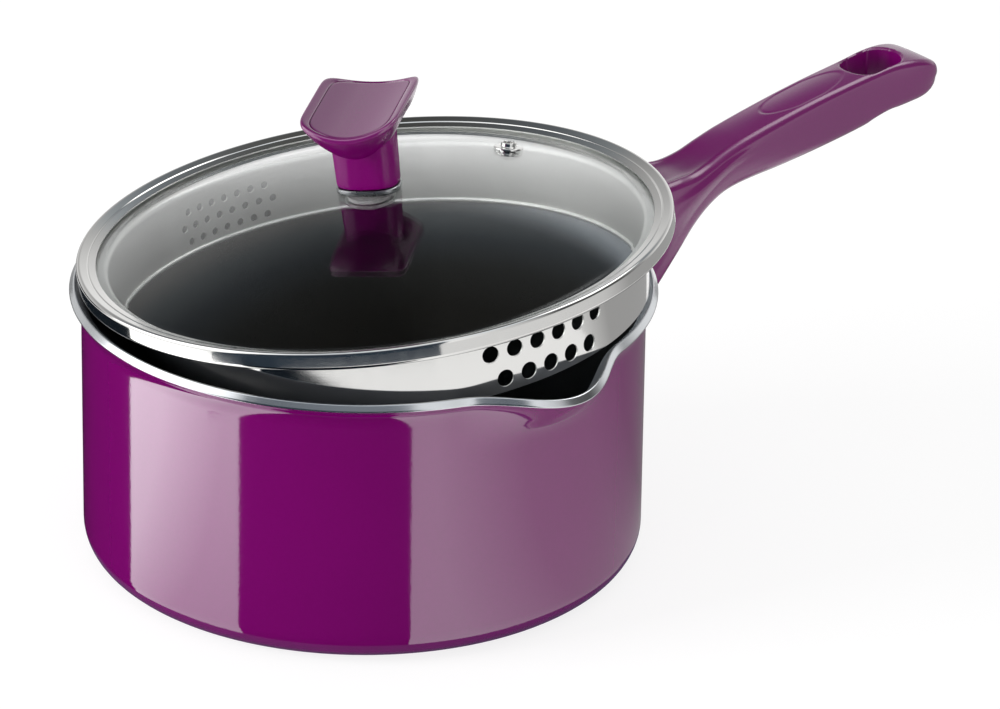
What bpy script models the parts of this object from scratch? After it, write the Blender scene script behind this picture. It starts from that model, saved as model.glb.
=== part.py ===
"""A 20 cm saucepan with a pouring spout, a stick handle and a glass straining lid that rests tilted on the lip.

Blender 4.5. Metres, +Z up. The origin is the centre of the base's flat underside, and +X runs along the
handle. The spout points along -Y. The lid's pieces are modelled in the lid's own frame, whose origin is
the centre of the plane through the top edge of the steel ring, and an empty carries that frame.
"""

import math

import bmesh
import bpy
from mathutils import Matrix, Vector

# Clearances
GAP = 0.0003
LID_REST_GAP = 0.0005
SCREW_CLEARANCE = 0.0003

# Pan body: a pressed aluminium shell
BODY_RADIUS = 0.100
BODY_WALL = 0.0026
BASE_THICKNESS = 0.0035
BASE_CORNER = 0.011
INNER_CORNER = 0.008
LIP_HEIGHT = 0.1018
LIP_REACH = 0.0044
LIP_EDGE_WIDTH = 0.0033
LIP_TURN = math.radians(52.4)
LIP_EDGE_STRAIGHT = 0.0007
LIP_EDGE_ROUND = 0.0006

# Spout: a bump that swings the lip out and down
SPOUT_DIRECTION = math.radians(-90)
SPOUT_HALF_ANGLE = math.radians(20.8)
SPOUT_REACH = 0.0131
SPOUT_DROP = 0.0024
SPOUT_DEPTH = 0.0228
SPOUT_FULL_DEPTH = 0.0028
SPOUT_DROP_POWER = 1.8

# Handle: stations run out from the pan's wall, heights are measured from the top of the lip
HANDLE_LENGTH = 0.171
HANDLE_START = -0.004
HANDLE_CREASE_ROUND = 0.0032
HANDLE_LOWER_ROUND = 0.0058
HANDLE_TIP_ROUND = 0.010
HANDLE_TIP_SHRINK = 0.62
HANDLE_LIP_GAP = 0.0020
HANDLE_WALL_GAP = 0.0004
# Each row: out from the wall, half-width at the crease, half-width low down, crease height, underside, crown
HANDLE_ROOT = (
    (-0.006, 0.0136, 0.0150, 0.0002, -0.0565, -0.0012),
    (0.004, 0.0135, 0.0150, 0.0020, -0.0558, -0.0014),
    (0.012, 0.0133, 0.0148, 0.0028, -0.0515, -0.0016),
    (0.022, 0.0130, 0.0144, 0.0030, -0.0420, -0.0016),
    (0.032, 0.0127, 0.0136, 0.0030, -0.0325, -0.0015),
    (0.040, 0.0123, 0.0124, 0.0030, -0.0255, -0.0012),
    (0.048, 0.0113, 0.0111, 0.0029, -0.0185, -0.0008),
    (0.056, 0.0104, 0.0101, 0.0045, -0.0133, -0.0004),
    (0.064, 0.0099, 0.0096, 0.0072, -0.0097, 0.0),
    (0.074, 0.0098, 0.0094, 0.0098, -0.0078, 0.0004),
)
# Each row: back from the tip, and the same five sizes
HANDLE_GRIP = (
    (0.076, 0.0097, 0.0092, 0.0137, -0.0064, 0.0008),
    (0.056, 0.0097, 0.0092, 0.0167, -0.0045, 0.0008),
    (0.036, 0.0098, 0.0093, 0.0190, -0.0018, 0.0008),
    (0.024, 0.0104, 0.0098, 0.0202, 0.0011, 0.0008),
    (0.014, 0.0113, 0.0106, 0.0198, 0.0024, 0.0006),
    (0.006, 0.0116, 0.0108, 0.0182, 0.0032, 0.0003),
    (0.000, 0.0116, 0.0108, 0.0162, 0.0038, 0.0),
)
HANDLE_STATION_STEP = 0.0055
HANDLE_TIP_STEPS = 6

# Hanging hole and the bare oval panel in the handle's top
HANG_HOLE_LENGTH = 0.025
HANG_HOLE_WIDTH = 0.0168
HANG_HOLE_FROM_TIP = 0.0267
PANEL_LENGTH = 0.040
PANEL_WIDTH = 0.014
PANEL_FROM_TIP = 0.0618
PANEL_DEPTH = 0.0005

# Handle fixing: a boss on the wall, a screw and a split washer
FIXING_BELOW_LIP = 0.030
STUD_LENGTH = 0.012
STUD_WIDTH = 0.016
STUD_HEIGHT = 0.026
SCREW_RADIUS = 0.0025
SCREW_ENGAGEMENT = 0.009
SCREW_SEAT_WALL = 0.004
SCREW_HEAD_RADIUS = 0.0044
SCREW_HEAD_HEIGHT = 0.0032
SCREW_SOCKET_RADIUS = 0.0023
SCREW_SOCKET_DEPTH = 0.0020
COUNTERBORE_RADIUS = 0.0055
COUNTERBORE_REACH = 0.034
LOCK_WASHER_THICKNESS = 0.0012
LOCK_WASHER_RADIUS = 0.0044
LOCK_WASHER_SPLIT = 0.0008

# Lid ring: one sheet, from the flange over the glass down to the hem of the skirt
RING_PROUD = 0.0016
RING_SHEET = 0.0006
FASCIA_HEIGHT = 0.0068
FASCIA_ROUND = 0.0012
FLANGE_WIDTH = 0.0070
FLANGE_DROP = 0.0020
SKIRT_PLAY = 0.0025
SKIRT_DEPTH = 0.0297
LEDGE_ROUND = 0.0012

# Straining holes in the skirt: coarse ones over the spout, fine ones opposite
COARSE_DIRECTION = math.radians(-90)
COARSE_RADIUS = 0.0031
COARSE_PITCH = 0.0094
COARSE_ROWS = ((6, 0.0145), (5, 0.0245))
COARSE_SIDES = 16
FINE_DIRECTION = math.radians(88.5)
FINE_RADIUS = 0.0014
FINE_PITCH = 0.0057
FINE_ROWS = ((7, 0.0138), (8, 0.0194), (7, 0.0250))
FINE_SIDES = 8

# Lid glass
GLASS_THICKNESS = 0.0030
GLASS_EDGE_PLAY = 0.0008
GLASS_FLAT_WIDTH = 0.0068
GLASS_CROWN = 0.0155
GLASS_EDGE_ROUND = 0.0008
GLASS_SEAT_GAP = 0.0003

# Vent eyelet, set square to the dome
VENT_FROM_CENTRE = 0.0663
VENT_DIRECTION = math.radians(4.4)
VENT_BORE = 0.0020
VENT_TUBE = 0.0031
VENT_FLANGE = 0.0053
VENT_LOWER_FLANGE = 0.0047
VENT_FLANGE_THICKNESS = 0.0007
VENT_COLLAR_HEIGHT = 0.0016
VENT_COLLAR_WIDTH = 0.0008

# Knob: a saddle-topped grip on an oval neck
KNOB_DIRECTION = math.radians(-50.5)
KNOB_NECK_ACROSS = 0.0112
KNOB_NECK_ALONG = 0.0080
KNOB_NECK_POWER = 2.7
KNOB_NECK_FLARE = 0.0006
KNOB_PLATE_ACROSS = 0.0175
KNOB_PLATE_ALONG = 0.0225
KNOB_PLATE_BULGE = 0.0048
KNOB_PLATE_POWER = 9.0
KNOB_PLATE_EDGE = 0.0030
KNOB_NECK_HEIGHT = 0.0138
KNOB_NECK_SADDLE = 0.0090
KNOB_HEIGHT = 0.0322
KNOB_SADDLE = 0.0048
KNOB_PANEL_INSET = 0.0030
KNOB_PANEL_DEPTH = 0.0004
KNOB_OUTLINE_POINTS = 40
COLLAR_THICKNESS = 0.0019
COLLAR_PROUD = 0.0003

# Knob fixing under the glass
INSERT_RADIUS = 0.0040
INSERT_LENGTH = 0.0120
KNOB_SCREW_RADIUS = 0.0020
KNOB_SCREW_HEAD_RADIUS = 0.0040
KNOB_SCREW_HEAD_HEIGHT = 0.0024
KNOB_SCREW_REACH = 0.0100
KNOB_SCREW_SLOT_WIDTH = 0.0010
KNOB_SCREW_SLOT_DEPTH = 0.0011
SEAL_RADIUS = 0.0080
SEAL_THICKNESS = 0.0012
WASHER_RADIUS = 0.0090
WASHER_THICKNESS = 0.0010
GLASS_HOLE_PLAY = 0.0013

# How the lid rests on the lip
LID_TILT = math.radians(6.59)
LID_HIGH_SIDE = math.radians(-51.8)
LID_TURN = math.radians(-1.3)
LID_SHIFT = 0.0036
CONTACT_SAMPLES = 720

# Fineness of the round shapes
TURN_STEPS = 72
SMALL_TURN_STEPS = 24
SMALL_SIDES = 20
SHARP_ANGLE = math.radians(35)

# Sizes that follow from the ones above
INNER_RADIUS = BODY_RADIUS - BODY_WALL
LIP_OUTER_RADIUS = BODY_RADIUS + LIP_REACH
LIP_OUTER_HEIGHT = LIP_HEIGHT - LIP_EDGE_WIDTH * math.sin(LIP_TURN)
LIP_INNER_RADIUS = LIP_OUTER_RADIUS - LIP_EDGE_WIDTH * math.cos(LIP_TURN)
LIP_INNER_RUN = (LIP_INNER_RADIUS - INNER_RADIUS) / math.sin(LIP_TURN)
LIP_OUTER_RUN = LIP_REACH / math.sin(LIP_TURN)
LIP_INNER_BEND = (LIP_INNER_RUN - LIP_EDGE_STRAIGHT) / math.tan(LIP_TURN / 2)
LIP_OUTER_BEND = (LIP_OUTER_RUN - LIP_EDGE_STRAIGHT) / math.tan(LIP_TURN / 2)
RING_RADIUS = LIP_OUTER_RADIUS + RING_PROUD
SKIRT_RADIUS = INNER_RADIUS - SKIRT_PLAY
FIXING_HEIGHT = LIP_HEIGHT - FIXING_BELOW_LIP
GLASS_TOP = -FLANGE_DROP - RING_SHEET - GLASS_SEAT_GAP
GLASS_RADIUS = RING_RADIUS - RING_SHEET - GLASS_EDGE_PLAY
DOME_FOOT = GLASS_RADIUS - GLASS_FLAT_WIDTH
DOME_RISE = GLASS_CROWN - GLASS_TOP
DOME_RADIUS = (DOME_FOOT**2 + DOME_RISE**2) / (2 * DOME_RISE)
DOME_CENTRE = GLASS_CROWN - DOME_RADIUS
COLLAR_BASE = GLASS_CROWN + GAP
KNOB_BASE = COLLAR_BASE + COLLAR_THICKNESS + GAP
KNOB_BOSS_HOLE = KNOB_SCREW_RADIUS + SCREW_CLEARANCE

PARTS = "saucepan"
CUTTERS = "saucepan_cutters"


def clear_scene():
    """Remove every object that the file opened with."""
    for thing in list(bpy.data.objects):
        bpy.data.objects.remove(thing, do_unlink=True)


def make_collection(name):
    made = bpy.data.collections.new(name)
    bpy.context.scene.collection.children.link(made)
    return made


def make_material(name, colour, roughness, metallic=0.0, transmission=0.0):
    """A Principled material with one colour and finish."""
    material = bpy.data.materials.new(name)
    material.use_nodes = True
    shader = material.node_tree.nodes["Principled BSDF"]
    shader.inputs["Base Color"].default_value = (*colour, 1.0)
    shader.inputs["Roughness"].default_value = roughness
    shader.inputs["Metallic"].default_value = metallic
    shader.inputs["Transmission Weight"].default_value = transmission
    return material


def add_piece(name, mesh, material, parent=None):
    """A named sub-part in the model's collection, with its own material."""
    piece = bpy.data.objects.new(name, mesh)
    piece.data.materials.append(material)
    piece.parent = parent
    bpy.data.collections[PARTS].objects.link(piece)
    return piece


def add_cutter(name, mesh, parent=None):
    """A shape that only cuts others, kept out of the model."""
    cutter = bpy.data.objects.new(name, mesh)
    cutter.hide_render = True
    cutter.display_type = "WIRE"
    cutter.parent = parent
    bpy.data.collections[CUTTERS].objects.link(cutter)
    return cutter


def cut(piece, cutter):
    """Take the cutter's volume out of the piece with a live Boolean."""
    modifier = piece.modifiers.new("cut_" + cutter.name, "BOOLEAN")
    modifier.operation = "DIFFERENCE"
    modifier.object = cutter


def mesh_from(name, build):
    """A mesh filled by a function that works on a bmesh."""
    bm = bmesh.new()
    build(bm)
    mesh = bpy.data.meshes.new(name)
    bm.to_mesh(mesh)
    bm.free()
    return mesh


def shade_round(mesh):
    mesh.shade_smooth()
    mesh.set_sharp_from_angle(angle=SHARP_ANGLE)


def rounded_path(corners, closed=False):
    """Points along a line through (across, up, fillet radius, fillet steps), with each corner rounded."""
    points = []
    last = len(corners) - 1
    for index, (across, up, radius, steps) in enumerate(corners):
        corner = Vector((across, up))
        if radius == 0 or (not closed and index in (0, last)):
            points.append(corner)
            continue
        back = (Vector(corners[index - 1][:2]) - corner).normalized()
        ahead = (Vector(corners[(index + 1) % len(corners)][:2]) - corner).normalized()
        half = back.angle(ahead) / 2
        centre = corner + (back + ahead).normalized() * radius / math.sin(half)
        spoke = corner + back * radius / math.tan(half) - centre
        sweep = math.pi - 2 * half
        if back.x * ahead.y - back.y * ahead.x > 0:
            sweep = -sweep
        for step in range(steps + 1):
            points.append(centre + Matrix.Rotation(sweep * step / steps, 2) @ spoke)
    return points


def profile_mesh(name, points, closed):
    """A line of edges in the XZ plane, ready for a Screw modifier."""
    def build(bm):
        corners = [bm.verts.new((point[0], 0, point[1])) for point in points]
        for start, end in zip(corners, corners[1:]):
            bm.edges.new((start, end))
        if closed:
            bm.edges.new((corners[-1], corners[0]))
    return mesh_from(name, build)


def turn(piece, steps):
    """Sweep the piece's profile once round Z."""
    screw = piece.modifiers.new("turn", "SCREW")
    screw.axis = "Z"
    screw.angle = math.tau
    screw.steps = steps
    screw.render_steps = steps
    screw.use_merge_vertices = True
    screw.merge_threshold = 0.00002
    screw.use_smooth_shade = True


def turned_piece(name, points, material, parent=None, steps=TURN_STEPS, closed=True):
    piece = add_piece(name, profile_mesh(name, points, closed), material, parent)
    turn(piece, steps)
    return piece


def ring_profile(inner, outer, bottom, top):
    """The closed section of a flat ring, wound so that its outer side runs down."""
    return [(inner, bottom), (inner, top), (outer, top), (outer, bottom)]


def freeze(piece):
    """Apply the piece's modifiers by taking its evaluated mesh."""
    evaluated = piece.evaluated_get(bpy.context.evaluated_depsgraph_get())
    mesh = bpy.data.meshes.new_from_object(evaluated)
    piece.modifiers.clear()
    piece.data = mesh
    return piece


def loft(bm, rings):
    """Faces between closed rings of equally many points, with both ends capped."""
    rows = [[bm.verts.new(point) for point in ring] for ring in rings]
    count = len(rows[0])
    for lower, upper in zip(rows, rows[1:]):
        for index in range(count):
            after = (index + 1) % count
            bm.faces.new((lower[index], lower[after], upper[after], upper[index]))
    bm.faces.new(list(reversed(rows[0])))
    bm.faces.new(rows[-1])
    bmesh.ops.recalc_face_normals(bm, faces=bm.faces)


def cylinder(bm, radius, start, end, sides=SMALL_SIDES):
    """A capped cylinder between two points."""
    start = Vector(start)
    run = Vector(end) - start
    place = Matrix.Translation(start + run / 2) @ run.to_track_quat("Z", "Y").to_matrix().to_4x4()
    bmesh.ops.create_cone(
        bm, cap_ends=True, segments=sides, radius1=radius, radius2=radius, depth=run.length, matrix=place
    )


def bore(piece, name, radius, start, end, parent=None, sides=SMALL_SIDES):
    """Cut a round hole between two points, which are in the parent's frame."""
    mesh = mesh_from(name, lambda bm: cylinder(bm, radius, start, end, sides))
    cutter = add_cutter(name, mesh, parent)
    cut(piece, cutter)
    return cutter


def box(bm, size, centre):
    place = Matrix.Translation(centre) @ Matrix.Diagonal((*size, 1))
    bmesh.ops.create_cube(bm, size=1, matrix=place)


def stadium(length, width, steps=8):
    """A flat outline with two straight sides and round ends, its length along the first axis."""
    radius = width / 2
    shift = length / 2 - radius
    outline = []
    for centre, start in ((shift, -math.pi / 2), (-shift, math.pi / 2)):
        for step in range(steps + 1):
            angle = start + math.pi * step / steps
            outline.append((centre + radius * math.cos(angle), radius * math.sin(angle)))
    return outline


def smooth_step(share):
    share = min(max(share, 0.0), 1.0)
    return share * share * (3 - 2 * share)


def smooth_keys(rows, at):
    """Read a table of rows at any place, on a smooth curve through its rows."""
    last = len(rows) - 1
    index = 0
    while index < last - 1 and at > rows[index + 1][0]:
        index += 1
    start, end = rows[index], rows[index + 1]
    before, after = rows[max(index - 1, 0)], rows[min(index + 2, last)]
    span = end[0] - start[0]
    share = (at - start[0]) / span
    values = []
    for column in range(1, len(start)):
        leave = (end[column] - before[column]) / (end[0] - before[0]) * span
        arrive = (after[column] - start[column]) / (after[0] - start[0]) * span
        values.append(
            (2 * share**3 - 3 * share**2 + 1) * start[column]
            + (share**3 - 2 * share**2 + share) * leave
            + (3 * share**2 - 2 * share**3) * end[column]
            + (share**3 - share**2) * arrive
        )
    return values


# Pan body


def body_profile():
    """The shell's section, from the middle of the floor up the inside, over the lip and down the outside."""
    inner_foot = LIP_HEIGHT - LIP_INNER_RUN * math.cos(LIP_TURN)
    outer_foot = LIP_OUTER_HEIGHT - LIP_OUTER_RUN * math.cos(LIP_TURN)
    spout_heights = [LIP_HEIGHT - SPOUT_DEPTH * share for share in (1.0, 0.82, 0.66)]
    corners = [(0, BASE_THICKNESS, 0, 0), (INNER_RADIUS, BASE_THICKNESS, INNER_CORNER, 4)]
    corners += [(INNER_RADIUS, height, 0, 0) for height in spout_heights]
    corners += [
        (INNER_RADIUS, inner_foot, LIP_INNER_BEND, 4),
        (LIP_INNER_RADIUS, LIP_HEIGHT, LIP_EDGE_ROUND, 2),
        (LIP_OUTER_RADIUS, LIP_OUTER_HEIGHT, LIP_EDGE_ROUND, 2),
        (BODY_RADIUS, outer_foot, LIP_OUTER_BEND, 4),
    ]
    corners += [(BODY_RADIUS, height, 0, 0) for height in reversed(spout_heights)]
    corners += [(BODY_RADIUS, 0, BASE_CORNER, 5), (0, 0, 0, 0)]
    return rounded_path(corners)


def spout_move(direction, height):
    """How far the spout swings the wall out and down at a direction and height."""
    off = math.remainder(direction - SPOUT_DIRECTION, math.tau) / SPOUT_HALF_ANGLE
    if abs(off) >= 1:
        return 0.0, 0.0
    bump = math.cos(off * math.pi / 2) ** 2
    start = LIP_HEIGHT - SPOUT_DEPTH
    fade = smooth_step((height - start) / (SPOUT_DEPTH - SPOUT_FULL_DEPTH))
    return SPOUT_REACH * bump * fade, SPOUT_DROP * bump**SPOUT_DROP_POWER * fade


def make_pan_body(material):
    body = freeze(turned_piece("pan_body", body_profile(), material, closed=False))
    for vertex in body.data.vertices:
        out, down = spout_move(math.atan2(vertex.co.y, vertex.co.x), vertex.co.z)
        across = Vector(vertex.co.xy)
        if out > 0:
            vertex.co.xy = across * (1 + out / across.length)
            vertex.co.z -= down
    shade_round(body.data)
    return body


# Handle


def handle_keys():
    """The handle's sizes along its length, out from the pan's wall."""
    grip = [(HANDLE_LENGTH - row[0], *row[1:]) for row in HANDLE_GRIP]
    return list(HANDLE_ROOT) + grip


def handle_section(out, keys):
    """One closed section of the handle, as (across, up from the base) points."""
    crease, low, top, under, crown = smooth_keys(keys, out)
    top += LIP_HEIGHT
    under += LIP_HEIGHT
    tip_start = HANDLE_LENGTH - HANDLE_TIP_ROUND
    if out > tip_start:
        share = (out - tip_start) / HANDLE_TIP_ROUND
        round_off = 1 - (1 - HANDLE_TIP_SHRINK) * (1 - math.sqrt(max(1 - share**2.2, 0)))
        middle = (top + under) / 2
        crease *= round_off
        low *= round_off
        top = middle + (top - middle) * round_off
        under = middle + (under - middle) * round_off
    half = [(0, top + crown), (crease * 0.5, top + crown * 0.75)]
    corner = (crease - HANDLE_CREASE_ROUND, top - HANDLE_CREASE_ROUND)
    for step in range(4):
        angle = math.pi / 2 * (1 - step / 3)
        half.append(
            (corner[0] + HANDLE_CREASE_ROUND * math.cos(angle), corner[1] + HANDLE_CREASE_ROUND * math.sin(angle))
        )
    half.append(((crease + low) / 2 + 0.0003, (top + under) / 2))
    corner = (low - HANDLE_LOWER_ROUND, under + HANDLE_LOWER_ROUND)
    for step in range(5):
        angle = -math.pi / 2 * step / 4
        half.append(
            (corner[0] + HANDLE_LOWER_ROUND * math.cos(angle), corner[1] + HANDLE_LOWER_ROUND * math.sin(angle))
        )
    half.append((0, under))
    return half + [(-across, up) for across, up in reversed(half[1:-1])]


def handle_stations():
    """Where the handle's sections stand, closer together round the tip."""
    tip_start = HANDLE_LENGTH - HANDLE_TIP_ROUND
    count = round((tip_start - HANDLE_START) / HANDLE_STATION_STEP)
    stations = [HANDLE_START + (tip_start - HANDLE_START) * step / count for step in range(count)]
    for step in range(HANDLE_TIP_STEPS + 1):
        stations.append(tip_start + HANDLE_TIP_ROUND * math.sin(math.pi / 2 * step / HANDLE_TIP_STEPS))
    return stations


def build_handle(bm):
    keys = handle_keys()
    rings = []
    for out in handle_stations():
        rings.append([(BODY_RADIUS + out, across, up) for across, up in handle_section(out, keys)])
    loft(bm, rings)


def pan_clearance_profile(gap):
    """The section of a cutter that follows the pan's outside and lip at a gap."""
    lip = LIP_OUTER_RADIUS + HANDLE_LIP_GAP
    bend = LIP_OUTER_HEIGHT - LIP_REACH * 3
    tall = LIP_HEIGHT + HANDLE_LENGTH
    return [
        (0, tall),
        (lip, tall),
        (lip, LIP_OUTER_HEIGHT - LIP_REACH / 2),
        (BODY_RADIUS + gap, bend),
        (BODY_RADIUS + gap, -BASE_CORNER),
        (0, -BASE_CORNER),
    ]


def prism(bm, outline, low, high, middle=(0, 0)):
    """An upright block with a flat outline."""
    rings = []
    for up in (low, high):
        rings.append([(middle[0] + across, middle[1] + along, up) for across, along in outline])
    loft(bm, rings)


def along_x(bm):
    """Lay what was built upright down along +X, its old top towards +X."""
    bmesh.ops.transform(bm, matrix=Matrix.Rotation(math.pi / 2, 4, "Y"), verts=bm.verts)


def build_stud_block(bm, grow, start, end):
    """The fixing boss's outline, grown by a clearance, from one distance out of the axis to another."""
    prism(bm, stadium(STUD_HEIGHT + 2 * grow, STUD_WIDTH + 2 * grow), start, end)
    along_x(bm)
    bmesh.ops.translate(bm, vec=(0, 0, FIXING_HEIGHT), verts=bm.verts)


def fixing_stations():
    """How far out of the axis the boss ends, the screw's seat lies and the head's underside comes."""
    boss_end = BODY_RADIUS + STUD_LENGTH
    seat = boss_end + GAP + SCREW_SEAT_WALL
    under_head = seat + GAP + LOCK_WASHER_THICKNESS + GAP
    return boss_end, seat, under_head


def make_handle(material, clearance):
    boss_end, seat, _ = fixing_stations()
    handle = add_piece("handle", mesh_from("handle", build_handle), material)
    cut(handle, clearance)

    def build_socket(bm):
        build_stud_block(bm, GAP, BODY_RADIUS - BODY_WALL, boss_end + GAP)

    cut(handle, add_cutter("handle_socket", mesh_from("handle_socket", build_socket)))
    hole_start = (boss_end, 0, FIXING_HEIGHT)
    seat_middle = (seat, 0, FIXING_HEIGHT)
    hole_end = (seat + SCREW_SEAT_WALL, 0, FIXING_HEIGHT)
    mouth = (seat + COUNTERBORE_REACH, 0, FIXING_HEIGHT)
    bore(handle, "handle_screw_hole", SCREW_RADIUS + SCREW_CLEARANCE, hole_start, hole_end)
    bore(handle, "handle_counterbore", COUNTERBORE_RADIUS, seat_middle, mouth)

    def build_hang_hole(bm):
        outline = stadium(HANG_HOLE_LENGTH, HANG_HOLE_WIDTH)
        middle = (BODY_RADIUS + HANDLE_LENGTH - HANG_HOLE_FROM_TIP, 0)
        prism(bm, outline, LIP_HEIGHT - HANDLE_LENGTH / 4, LIP_HEIGHT + HANDLE_LENGTH / 4, middle)

    cut(handle, add_cutter("handle_hang_hole", mesh_from("handle_hang_hole", build_hang_hole)))
    cut(handle, make_panel_cutter())
    return handle


def make_panel_cutter():
    """A thin oval block that lies along the slope of the handle's top and sinks in by the panel's depth."""
    keys = handle_keys()
    middle = HANDLE_LENGTH - PANEL_FROM_TIP
    heights = []
    for out in (middle - PANEL_LENGTH / 2, middle + PANEL_LENGTH / 2):
        row = smooth_keys(keys, out)
        heights.append(LIP_HEIGHT + row[2] + row[4])
    slope = math.atan2(heights[1] - heights[0], PANEL_LENGTH)

    def build(bm):
        outline = []
        for step in range(SMALL_SIDES):
            angle = math.tau * step / SMALL_SIDES
            outline.append((PANEL_LENGTH / 2 * math.cos(angle), PANEL_WIDTH / 2 * math.sin(angle)))
        prism(bm, outline, -PANEL_DEPTH, PANEL_WIDTH / 2)

    cutter = add_cutter("handle_panel", mesh_from("handle_panel", build))
    cutter.location = (BODY_RADIUS + middle, 0, sum(heights) / 2)
    cutter.rotation_euler = (0, -slope, 0)
    return cutter


def make_fixing(stud_material, steel):
    """The boss on the wall, the screw through the handle's root and the split washer under its head."""
    boss_end, seat, under_head = fixing_stations()
    axis = Vector((0, 0, FIXING_HEIGHT))

    def build_stud(bm):
        build_stud_block(bm, 0, BODY_RADIUS - BODY_WALL, boss_end)

    stud = add_piece("handle_stud", mesh_from("handle_stud", build_stud), stud_material)
    wall = add_cutter("stud_wall", profile_mesh("stud_wall", pan_clearance_profile(GAP), False))
    turn(wall, TURN_STEPS)
    cut(stud, wall)
    screw_end = boss_end - SCREW_ENGAGEMENT
    bore_start = (screw_end - 2 * GAP, 0, FIXING_HEIGHT)
    bore(stud, "stud_bore", SCREW_RADIUS + SCREW_CLEARANCE, bore_start, (seat, 0, FIXING_HEIGHT))
    head_end = under_head + SCREW_HEAD_HEIGHT
    corners = [
        (0, head_end, 0, 0),
        (SCREW_HEAD_RADIUS, head_end, SCREW_HEAD_HEIGHT / 3, 3),
        (SCREW_HEAD_RADIUS, under_head, 0, 0),
        (SCREW_RADIUS, under_head, 0, 0),
        (SCREW_RADIUS, screw_end, SCREW_RADIUS / 4, 2),
        (0, screw_end, 0, 0),
    ]
    screw = turned_piece("handle_screw", rounded_path(corners), steel, steps=SMALL_TURN_STEPS, closed=False)
    screw.rotation_euler = (0, math.pi / 2, 0)
    screw.location = axis

    socket_floor = (head_end - SCREW_SOCKET_DEPTH, 0, FIXING_HEIGHT)
    socket_mouth = (head_end + SCREW_SOCKET_DEPTH, 0, FIXING_HEIGHT)
    bore(screw, "screw_socket", SCREW_SOCKET_RADIUS, socket_floor, socket_mouth, sides=6)

    washer_low = seat + GAP
    section = ring_profile(SCREW_RADIUS + SCREW_CLEARANCE, LOCK_WASHER_RADIUS, washer_low,
                           washer_low + LOCK_WASHER_THICKNESS)
    washer = turned_piece("handle_lock_washer", section, steel, steps=SMALL_TURN_STEPS)
    washer.rotation_euler = (0, math.pi / 2, 0)
    washer.location = axis

    def build_split(bm):
        size = (4 * LOCK_WASHER_THICKNESS, LOCK_WASHER_SPLIT, 2 * LOCK_WASHER_RADIUS)
        box(bm, size, (washer_low, 0, FIXING_HEIGHT + LOCK_WASHER_RADIUS))

    cut(washer, add_cutter("washer_split", mesh_from("washer_split", build_split)))


# Lid


def lid_matrix(height):
    """The lid's frame when its centre stands at a height over the base."""
    lean = Vector((math.sin(LID_HIGH_SIDE), -math.cos(LID_HIGH_SIDE), 0))
    high_side = Vector((math.cos(LID_HIGH_SIDE), math.sin(LID_HIGH_SIDE), 0))
    place = Matrix.Translation(high_side * LID_SHIFT + Vector((0, 0, height)))
    return place @ Matrix.Rotation(LID_TILT, 4, lean) @ Matrix.Rotation(LID_TURN, 4, "Z")


def lip_surface(radius):
    """The height of the lip's upper face at a distance from the axis, or None where there is no lip."""
    straight_start = LIP_INNER_RADIUS - LIP_EDGE_STRAIGHT * math.sin(LIP_TURN)
    if INNER_RADIUS <= radius <= straight_start:
        inset = (INNER_RADIUS + LIP_INNER_BEND - radius) / LIP_INNER_BEND
        bend_end = LIP_HEIGHT - LIP_EDGE_STRAIGHT * math.cos(LIP_TURN)
        return bend_end - LIP_INNER_BEND * (math.sin(LIP_TURN) - math.sqrt(1 - inset**2))
    if straight_start < radius <= LIP_INNER_RADIUS:
        return LIP_HEIGHT - (LIP_INNER_RADIUS - radius) / math.tan(LIP_TURN)
    if LIP_INNER_RADIUS < radius <= LIP_OUTER_RADIUS:
        share = (radius - LIP_INNER_RADIUS) / (LIP_OUTER_RADIUS - LIP_INNER_RADIUS)
        return LIP_HEIGHT + (LIP_OUTER_HEIGHT - LIP_HEIGHT) * share
    return None


def lid_rest_height():
    """The centre height at which the tilted skirt's hem and the fascia's low edge come down on the lip."""
    frame = lid_matrix(0)
    needed = []
    for radius, low in ((SKIRT_RADIUS, -SKIRT_DEPTH), (RING_RADIUS, -FASCIA_HEIGHT)):
        for sample in range(CONTACT_SAMPLES):
            angle = math.tau * sample / CONTACT_SAMPLES
            point = frame @ Vector((radius * math.cos(angle), radius * math.sin(angle), low))
            surface = lip_surface(point.xy.length)
            if surface is not None:
                needed.append(surface - point.z)
    return max(needed) + LID_REST_GAP


def dome_height(radius, offset=0.0):
    """The height of the glass's upper face, or of a face that much below it, at a distance from its axis."""
    return DOME_CENTRE + math.sqrt((DOME_RADIUS - offset) ** 2 - radius**2)


def glass_profile():
    """The glass's closed section, wound so that its outer edge runs down."""
    hole = KNOB_SCREW_RADIUS + GLASS_HOLE_PLAY
    steps = 6
    under = GLASS_TOP - GLASS_THICKNESS
    inner_foot = math.sqrt((DOME_RADIUS - GLASS_THICKNESS) ** 2 - (under - DOME_CENTRE) ** 2)
    points = []
    for step in range(steps):
        radius = hole + (DOME_FOOT - hole) * step / steps
        points.append(Vector((radius, dome_height(radius))))
    rim = [
        (DOME_FOOT, GLASS_TOP, 0, 0),
        (GLASS_RADIUS, GLASS_TOP, GLASS_EDGE_ROUND, 2),
        (GLASS_RADIUS, under, GLASS_EDGE_ROUND, 2),
        (inner_foot, under, 0, 0),
    ]
    points += rounded_path(rim)
    for step in reversed(range(steps)):
        radius = hole + (inner_foot - hole) * step / steps
        points.append(Vector((radius, dome_height(radius, GLASS_THICKNESS))))
    return points


def ring_sheet_profile():
    """The outer face of the ring's sheet, from the flange's inner edge to the hem of the skirt."""
    return rounded_path([
        (RING_RADIUS - FLANGE_WIDTH, -FLANGE_DROP, 0, 0),
        (RING_RADIUS, 0, FASCIA_ROUND, 3),
        (RING_RADIUS, -FASCIA_HEIGHT, FASCIA_ROUND, 2),
        (SKIRT_RADIUS, -FASCIA_HEIGHT, LEDGE_ROUND, 2),
        (SKIRT_RADIUS, -SKIRT_DEPTH, 0, 0),
    ])


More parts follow.
